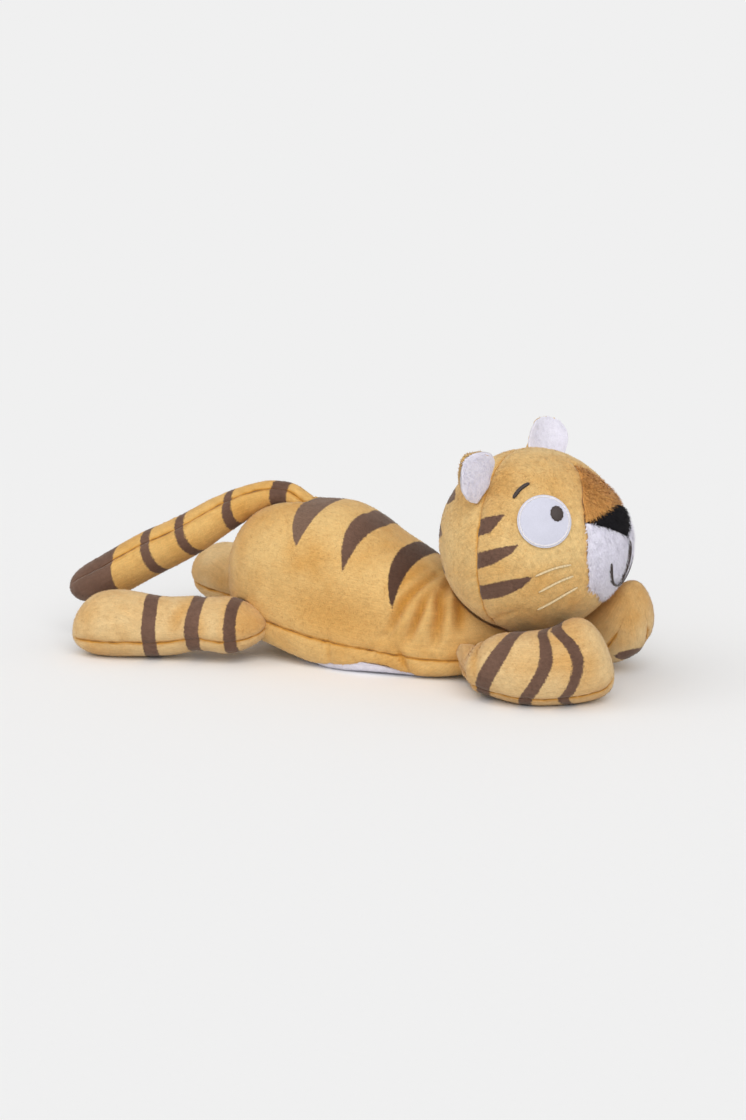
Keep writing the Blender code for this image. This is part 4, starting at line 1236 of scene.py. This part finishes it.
def outlineTilt(corners, turn):
    # How far from the face's middle an outline lies, in each turn from straight up
    corners = np.array(corners) * mm
    turn = np.abs((turn + pi) % (2 * pi) - pi)
    shares = np.linspace(0, 1, 40)[:, None]
    fine = np.concatenate([start + (end - start) * shares for start, end in zip(corners, corners[1:])])
    angles = np.arctan2(fine[:, 0], fine[:, 1])
    order = np.argsort(angles)
    return np.interp(turn, angles[order], np.hypot(*fine.T)[order]) / head["radius"]


def stripTilt(turn):
    return outlineTilt(head["strip"], turn)


def noseTilt(turn):
    return outlineTilt(head["nose"], turn)


def crownTilt(turn):
    level = -head["crownBack"] / head["radius"]
    a, b = faceAxis[0], faceUp[0] * np.cos(turn)
    return np.arctan2(b, a) + np.arccos(level / np.sqrt(a * a + b * b))


def backTilt(turn):
    return pi + 0 * turn


def bandSurface(inner, outer):
    # Between two outlines: u goes outward, and v turns from straight up towards the left
    def surface(u, v):
        turn = 2 * pi * v[None] + 0 * u[:, None]
        start, end = inner(turn), outer(turn)
        return headPoint(faceWay(start + (end - start) * u[:, None], turn))
    return surface


def acrossSurface(lowRows, highRows):
    # From corner to corner of the nose: u across and v up, between two edges given as across and up
    def surface(u, v):
        across = -head["nose"][1][0] * mm * np.cos(pi * u)[:, None]
        low, high = (np.interp(np.abs(across), *(np.array(rows) * mm).T) for rows in (lowRows, highRows))
        rise = low + (high - low) * v[None]
        return headPoint(mapWay(across + 0 * rise, rise))
    return surface


def muzzleSurface(u, v):
    # From one corner of the nose to the other below it: u turns and v goes outward
    corner = atan2(*head["nose"][1])
    turn = corner + (2 * pi - 2 * corner) * u[:, None] + 0 * v[None]
    start, end = noseTilt(turn), stripTilt(turn)
    return headPoint(faceWay(start + (end - start) * v[None], turn))


def headStripes(points, u):
    x, z = points[..., 0] / mm, points[..., 2] / mm
    start, apart = head["stripesFrom"], np.abs(points[..., 1]) > head["stripesApart"]
    outlines = head["stripes"] if x.mean() > start else head["backStripes"]
    best = np.max([insideOutline(x, z, outline) for outline in outlines], axis=0)
    return np.where(apart | (x < start), best, -9.0)


looksHead = {
    **looksBody,
    "seamDepth": 1.0 * mm,
    "seamShade": 0.35,
    "threadShade": 1.25,
    "lumps": ((24 * mm, 0.35 * mm), (10 * mm, 0.18 * mm), (4 * mm, 0.06 * mm)),
    "pile": {"perSquareCm": 100, "length": 1.6 * mm, "width": 0.40 * mm, "liftDegrees": 22, "mess": 0.6},
}
looksLong = {
    "thickness": 1.2 * mm,
    "seamDepth": 0.6 * mm,
    "seamWidth": 1.6 * mm,
    "seamShade": 0.2,
    "threadShade": 0.5,
    "bareSeam": 0.0,
    "puckerLength": 5 * mm,
    "puckerDepth": 0.15 * mm,
    "lumps": ((9 * mm, 0.3 * mm), (3.5 * mm, 0.12 * mm)),
    "pile": {"perSquareCm": 160, "length": 3.6 * mm, "width": 0.42 * mm, "liftDegrees": 30, "mess": 0.55},
}


def makeHead():
    faceMiddle = headPoint(faceAxis)
    patch = {
        "middle": head["centre"], "fits": [hideInTorso], "stripes": headStripes, "u": (0, 1),
        "nap": lambda points: unit(points - faceMiddle) - 0.4 * up,
    }
    makeCloth(
        "faceCloth", "head", ["face_panel", "head_stuffing"], materials["head"],
        {**patch, "surface": bandSurface(stripTilt, crownTilt), "v": (-0.5, 0, 0.5),
         "seams": ("u0", "u1", "v0", "v1"), "shape": foldedShape(head["folds"], ()), "seed": 51},
        looksHead,
    )
    for side, vMarks in (("left", (0, 0.5)), ("right", (0.5, 1.0))):
        makeCloth(
            f"headBack{side.title()}Cloth", "head", [f"head_back_{side}"], materials["head"],
            {**patch, "surface": bandSurface(crownTilt, backTilt), "v": vMarks,
             "seams": ("u0", "v0", "v1"), "seed": 52},
            looksHead,
        )
    top, corner, low = head["nose"]
    noseSurface = acrossSurface((low, corner), (top, corner))
    bridgeSurface = acrossSurface((top, corner), head["strip"][:3])
    muzzleNap = lambda points: 0.5 * unit(points - faceMiddle) - up
    for name, node, kind, surface, nap, uMarks, seed in (
        ("noseCloth", "nose", "nose", noseSurface, evenNap(faceAxis - up), (0, 1), 53),
        ("bridgeCloth", "nose_bridge", "bridge", bridgeSurface, evenNap(-up), (0, 1), 54),
        ("muzzleCloth", "muzzle", "white", muzzleSurface, muzzleNap, (0, 0.5, 1), 55),
    ):
        makeCloth(
            name, "head", [node], materials[kind],
            {**patch, "surface": surface, "nap": nap, "u": uMarks, "v": (0, 1), "seams": ("v0", "v1"),
             "cell": 1.2 * mm, "seed": seed},
            looksLong,
        )


makeHead()
print("head done")


# Ears: a white petal in front of a gold one

ears = {
    "height": 33 * mm,
    "width": 28 * mm,
    "cup": 4.5 * mm,
    "lean": radians(8),
    "turn": {1: radians(46), -1: radians(48.5)},
    "facing": {1: radians(-35), -1: radians(25)},
    # Room below the ear, between its petals, and for the thickness of one; then the rim of the gold one
    "baseGap": 1.4 * mm,
    "gap": 0.15 * mm,
    "sheet": 1.4 * mm,
    "backRim": 0.7 * mm,
    # How tall each ear is against the height above, and how much taller towards its outer side
    "tall": {1: 1.10, -1: 0.87},
    "slant": {1: 0.30, -1: -0.10},
    # Share of the height, then half width and the middle's shift outward as shares of the width
    "outline": {
        1: (
            (0.00, 0.36, 0.0), (0.27, 0.44, 0.0), (0.50, 0.48, 0.0), (0.70, 0.46, 0.0),
            (0.85, 0.38, 0.0), (0.95, 0.25, 0.0), (1.00, 0.08, 0.0),
        ),
        -1: (
            (0.00, 0.20, 0.14), (0.20, 0.38, 0.05), (0.42, 0.47, 0.00), (0.66, 0.47, -0.02),
            (0.83, 0.37, -0.03), (0.94, 0.22, -0.04), (1.00, 0.06, -0.05),
        ),
    },
}
looksEar = {
    **looksBody,
    "thickness": 1.3 * mm,
    "seamDepth": 0.5 * mm,
    "seamWidth": 1.4 * mm,
    "seamShade": 0.1,
    "threadShade": 0.1,
    "lumps": ((9 * mm, 0.25 * mm),),
    "pile": {"perSquareCm": 90, "length": 1.8 * mm, "width": 0.4 * mm, "liftDegrees": 26, "mess": 0.5},
}


def makeEar(hand):
    side = sideName(hand)
    level = -head["crownBack"] / head["radius"]
    ahead = np.array((1.0, 0.0, 0.0))
    turn = ears["turn"][hand]
    outward = np.array((0.0, hand * sin(turn), cos(turn)))
    sideways = np.array((0.0, hand * cos(turn), -sin(turn)))
    rise = outward * cos(ears["lean"]) - ahead * sin(ears["lean"])
    tipped = ahead * cos(ears["lean"]) + outward * sin(ears["lean"])
    facing = ears["facing"][hand]
    front = tipped * cos(facing) + sideways * sin(facing)
    across = sideways * cos(facing) - tipped * sin(facing)
    base = headPoint(ahead * level + outward * sqrt(1 - level**2), ears["baseGap"])
    outline = np.array(ears["outline"][hand])

    def petal(offset, rim):
        def surface(u, v):
            heights, halves, shifts = readShares(
                np.column_stack((np.linspace(0, 1, len(outline)), outline)), u
            ).T[:, :, None]
            halves = np.maximum(halves, 0) + rim / ears["width"]
            side = (2 * v - 1)[None] * halves + shifts
            foot = unit(base + across * (side * ears["width"])[..., None] - head["centre"])
            cup = ears["cup"] * (side * 2) ** 2 * np.sin(pi / 2 * heights)
            tall = (ears["height"] + ears["slant"][hand] * side * ears["width"]) * ears["tall"][hand]
            climb = heights * (tall + rim)
            points = headPoint(foot, ears["baseGap"])
            return points + rise * climb[..., None] + front * (cup + offset)[..., None]
        return surface

    far = ears["gap"] + ears["sheet"]
    for label, way, kind, rim in (("front", 1, "white", 0.0), ("back", -1, "honey", ears["backRim"])):
        makeCloth(
            f"ear{side.title()}{label.title()}Cloth", f"ear_{side}", [f"ear_{side}_{label}"],
            materials[kind],
            {"surface": petal(way * far, rim), "u": (0, 1), "v": (0, 0.5, 1), "seams": ("v0", "v1", "u1"),
             "cell": 1.2 * mm, "middle": base + rise * ears["height"] / 2 - front * way * 0.1,
             "nap": evenNap(rise), "seed": 61 + hand},
            looksEar,
        )


for hand in (-1, 1):
    makeEar(hand)
print("ears done")


# Stitched face: felt eyes, brows, whiskers and mouth

face = {
    # The left eye's middle as a direction from the head's middle
    "eye": (25.4, 42.4, 21.2),
    "eyeRadius": 15.1 * mm,
    "eyeThickness": 1.0 * mm,
    "rimInset": 0.7 * mm,
    "rimWidth": 1.1 * mm,
    "rimHeight": 0.55 * mm,
    "rimWaves": ((0.08 * mm, 97), (0.05 * mm, 41)),
    "lift": 0.3 * mm,
    "pupilRadius": 3.6 * mm,
    "pupilHeight": 0.9 * mm,
    # How tall the pupil is for its width, and where it sits, in shares of the eye's radius
    "pupilHigh": 1.22,
    "pupilForward": 0.47,
    "pupilUp": 0.23,
    "threadThickness": 0.9 * mm,
    "browLength": 13.5 * mm,
    "browWidth": 2.5 * mm,
    "browAbove": 6.0 * mm,
    "browSlant": radians(42),
    "browBack": 0.55,
    "browBow": 0.02,
    "whiskerWidth": 1.25 * mm,
    "whiskerBow": 0.025,
    # The two ends of each whisker in mm, on the left
    "whiskers": (
        ((155.5, 36.6, 79.6), (138.4, 47.4, 73.6)),
        ((156.1, 34.7, 73.0), (139.4, 44.6, 63.6)),
        ((157.0, 30.6, 65.9), (136.6, 39.6, 52.0)),
    ),
    "mouthWidth": 1.4 * mm,
    "mouthThickness": 1.6 * mm,
    "mouthLow": 34.0 * mm,
    "mouthCorner": (15.6 * mm, 18.3 * mm),
    "noseTip": 7.2 * mm,
}


def trimMesh(name, rows, heights, nodes, material):
    # A raised strip or disc on the head: rows of directions and their heights, closed below
    points = headPoint(rows, heights)
    normals = patchNormals(points)
    if ((points - head["centre"]) * normals).sum() < 0:
        rows, points, normals = rows[:, ::-1], points[:, ::-1], -normals[:, ::-1]
    low = headPoint(rows, np.full(rows.shape[:2], face["lift"] * 0.5))
    count, quads, tris = closeSheet(points)
    cloth = np.stack((arcs(points, 0), arcs(points, 1), 0 * points[..., 0]), -1).reshape(-1, 3)
    spans = [np.linspace(0.02, 0.98, size) for size in points.shape[:2]]
    span = np.stack(np.meshgrid(*spans, indexing="ij"), -1).reshape(-1, 2)
    piece = buildMesh(
        name, np.concatenate((points.reshape(-1, 3), low.reshape(-1, 3))), quads, tris,
        {"clothPlace": np.concatenate((cloth, cloth))}, np.concatenate((span, span)),
        np.concatenate((normals.reshape(-1, 3), -normals.reshape(-1, 3))),
    )
    finishPiece(piece, "head", nodes, material)


def stitchedLine(name, wayAt, steps, width, thickness, nodes, material, taper=0.35):
    # A satin-stitched line on the head, round in section and slightly uneven at its sides
    share = np.linspace(0, 1, steps)
    ways = unit(np.array([wayAt(s) for s in share]))
    side = unit(np.cross(ways, np.gradient(ways, axis=0)))
    swell = np.sqrt(np.clip(1 - np.abs(2 * share - 1) ** (2 / taper), 0, 1))
    ragged = 1 + 0.10 * np.sin(share * steps * 1.9) * np.sin(share * steps * 0.7)
    half = width / 2 / head["radius"] * swell * ragged
    rows, heights = [], []
    for a in np.linspace(-1, 1, 9):
        rows.append(unit(ways + side * (a * half)[:, None]))
        heights.append(face["lift"] + thickness * sqrt(max(0, 1 - a * a)) * np.maximum(swell, 0.2))
    trimMesh(name, np.array(rows).swapaxes(0, 1), np.array(heights).T, nodes, material)


def discRows(centreWay, radius, ahead, rings, sides=72, high=1.0, ragged=0.0):
    # Directions of rings about one direction; rings gives radius shares
    other = np.cross(centreWay, ahead) * high
    turns = np.linspace(0, 2 * pi, sides + 1)
    spokes = ahead * np.cos(turns)[:, None] + other * np.sin(turns)[:, None]
    spokes *= 1 + ragged * (np.sin(turns * 19) * np.sin(turns * 7 + 1))[:, None]
    return np.array([unit(centreWay + spokes * np.tan(share * radius / head["radius"])) for share in rings])


def eyeWays(hand):
    # Directions from the head's middle: to the eye, and beside it forward and up
    eyeWay = unit(np.array(face["eye"]) * (1, hand, 1))
    forward = unit(faceAxis - eyeWay * (faceAxis @ eyeWay))
    return eyeWay, forward, unit(up - eyeWay * eyeWay[2] - forward * (up @ forward))


def makeEye(hand):
    side = sideName(hand)
    title = side.title()
    eyeWay, forward, rise = eyeWays(hand)
    lift, thickness = face["lift"], face["eyeThickness"]
    rings = np.array((0, 0.2, 0.4, 0.6, 0.8, 0.92, 1.0))
    heights = lift + thickness * (0.85 + 0.45 * (1 - rings**2))
    rows = discRows(eyeWay, face["eyeRadius"], forward, rings)
    trimMesh(f"eye{title}Felt", rows, heights[:, None], [f"eye_{side}"], materials["felt"])
    outer = 1 - face["rimInset"] / face["eyeRadius"]
    inner = outer - face["rimWidth"] / face["eyeRadius"]
    bulge = np.sqrt(np.clip(1 - np.linspace(-1, 1, 8) ** 2, 0, 1))
    turns = np.linspace(0, 2 * pi, 241)
    uneven = sum(depth * np.sin(turns * times) for depth, times in face["rimWaves"])
    rows = discRows(eyeWay, face["eyeRadius"], forward, np.linspace(inner, outer, 8), 240)
    heights = lift + thickness * 0.95 + (face["rimHeight"] + uneven)[None] * bulge[:, None]
    trimMesh(f"eye{title}Rim", rows.swapaxes(0, 1), heights.T, [], materials["eyeRim"])
    offset = forward * face["pupilForward"] + rise * face["pupilUp"]
    pupilWay = unit(eyeWay + offset * face["eyeRadius"] / head["radius"])
    ahead = unit(forward - pupilWay * (forward @ pupilWay))
    rings = np.array((0, 0.3, 0.6, 0.85, 1.0))
    heights = lift + thickness * 1.3 + face["pupilHeight"] * np.sqrt(np.maximum(0.05, 1 - rings**3))
    rows = discRows(pupilWay, face["pupilRadius"], ahead, rings, high=face["pupilHigh"], ragged=0.07)
    trimMesh(
        f"pupil{title}Stitch", rows, heights[:, None], [f"pupil_{side}"], materials["dark"],
    )


def makeBrow(hand):
    side = sideName(hand)
    eyeWay, forward, rise = eyeWays(hand)
    above = (face["eyeRadius"] + face["browAbove"]) / head["radius"]
    browWay = unit(eyeWay + rise * above - forward * above * face["browBack"])
    along = forward * cos(face["browSlant"]) + rise * sin(face["browSlant"])
    reach = along * face["browLength"] / 2 / head["radius"]
    bow = unit(np.cross(browWay, along)) * face["browBow"] * -hand
    stitchedLine(
        f"brow{side.title()}Stitch",
        lambda s: unit(browWay - reach) * (1 - s) + unit(browWay + reach) * s + bow * sin(pi * s),
        40, face["browWidth"], face["threadThickness"], [f"brow_{side}"], materials["dark"],
    )


def makeWhiskers(hand):
    side = sideName(hand)
    for k, ends in enumerate(face["whiskers"], start=1):
        start, end = (unit(np.array(spot) * mm * (1, hand, 1) - head["centre"]) for spot in ends)
        stitchedLine(
            f"whisker{side.title()}{k}Stitch",
            lambda s: start * (1 - s) + end * s + up * face["whiskerBow"] * sin(pi * s), 50,
            face["whiskerWidth"], face["threadThickness"], [f"whisker_{side}_{k}"],
            materials["beige"], taper=0.2,
        )


def mouthLine(share):
    start, end = face["noseTip"] + face["mouthWidth"], face["mouthLow"] - face["mouthWidth"] / 2
    return mapWay(0.0, -start - (end - start) * share)


def mouthCurve(share):
    turn = pi * (share - 0.5)
    across, down = face["mouthCorner"]
    return mapWay(across * sin(turn), -down - (face["mouthLow"] - down) * cos(turn))


for hand in (-1, 1):
    makeEye(hand)
    makeBrow(hand)
    makeWhiskers(hand)
for label, wayAt in (("line", mouthLine), ("curve", mouthCurve)):
    stitchedLine(
        f"mouth{label.title()}Stitch", wayAt, 60, face["mouthWidth"], face["mouthThickness"],
        [f"mouth_{label}"], materials["dark"], taper=0.2,
    )
print("stitches done")


# Floor, backdrop, light and camera

studio = {
    "paper": 0.871,
    "sky": 0.54,
    # Strength, tilt towards the viewer and tilt towards the head of each soft light
    "lights": {
        "key": (1.38, radians(36), radians(34)), "fill": (0.52, radians(30), radians(-32)),
        "low": (0.26, radians(84), radians(10)),
    },
    "lightAngle": radians(50),
    # The paper floor: how pale it is, its grain, where it fades into the backdrop, and how far it reaches
    "floor": (0.898, 0.902),
    "floorGrain": 300.0,
    "fade": (0.5, 1.2),
    "floorReach": 40.0,
}
view = {
    "from": (0.6031, -1.1505, 0.3364),
    "way": (-0.447, 0.870, -0.208),
    "lens": 70.13,
}


def makeFloor():
    floorMesh = bpy.data.meshes.new("floor")
    reach = studio["floorReach"]
    corners = [(-reach, -reach, 0), (reach, -reach, 0), (reach, reach, 0), (-reach, reach, 0)]
    floorMesh.from_pydata(corners, [], [(0, 1, 2, 3)])
    floor = addObject("floor", floorMesh)
    material, tree, shader = newMaterial("paperFloor")
    place = addNode(tree, "TexCoord").outputs["Object"]
    grain = spotNoise(tree, place, studio["floorGrain"], 2.0)
    paper = greyColor(tree, remap(tree, grain, 0.3, 0.7, *studio["floor"]))
    away = addNode(tree, "VectorMath", {"Vector": place}, operation="LENGTH").outputs["Value"]
    far = remap(tree, away, *studio["fade"], 0.0, 1.0)
    tree.links.new(blendColors(tree, far, paper, (0.0, 0.0, 0.0)), shader.inputs["Base Color"])
    tree.links.new(combine(tree, "MULTIPLY", far, studio["paper"]), shader.inputs["Emission Strength"])
    shader.inputs["Emission Color"].default_value = (1.0, 1.0, 1.0, 1)
    shader.inputs["Roughness"].default_value = 1.0
    shader.inputs["Specular IOR Level"].default_value = 0.0
    floorMesh.materials.append(material)


def makeLight():
    world = bpy.data.worlds.new("studio")
    bpy.context.scene.world = world
    world.use_nodes = True
    tree = world.node_tree
    path = addNode(tree, "LightPath").outputs
    seen = combine(tree, "MAXIMUM", path["Is Camera Ray"], path["Is Glossy Ray"])
    seen = combine(tree, "MAXIMUM", seen, path["Is Transmission Ray"])
    level = remap(tree, seen, 0.0, 1.0, studio["sky"], studio["paper"])
    tree.links.new(greyColor(tree, level), tree.nodes["Background"].inputs["Color"])
    for name, (strength, tilt, turn) in studio["lights"].items():
        light = bpy.data.lights.new(name, "SUN")
        light.energy = strength
        light.angle = studio["lightAngle"]
        addObject(name, light).rotation_euler = (tilt, turn, 0.0)


def makeCamera():
    camera = bpy.data.cameras.new("camera")
    camera.sensor_fit = "VERTICAL"
    camera.sensor_height = 36
    camera.lens = view["lens"]
    camera.clip_start = 0.05
    eye = addObject("camera", camera)
    forward = unit(np.array(view["way"]))
    right = unit(np.cross(forward, up))
    matrix = Matrix(np.column_stack((right, np.cross(right, forward), -forward)).tolist()).to_4x4()
    matrix.translation = view["from"]
    eye.matrix_world = matrix
    bpy.context.scene.camera = eye


makeFloor()
makeLight()
makeCamera()
bpy.context.scene.view_settings.view_transform = "Standard"
print("studio done")
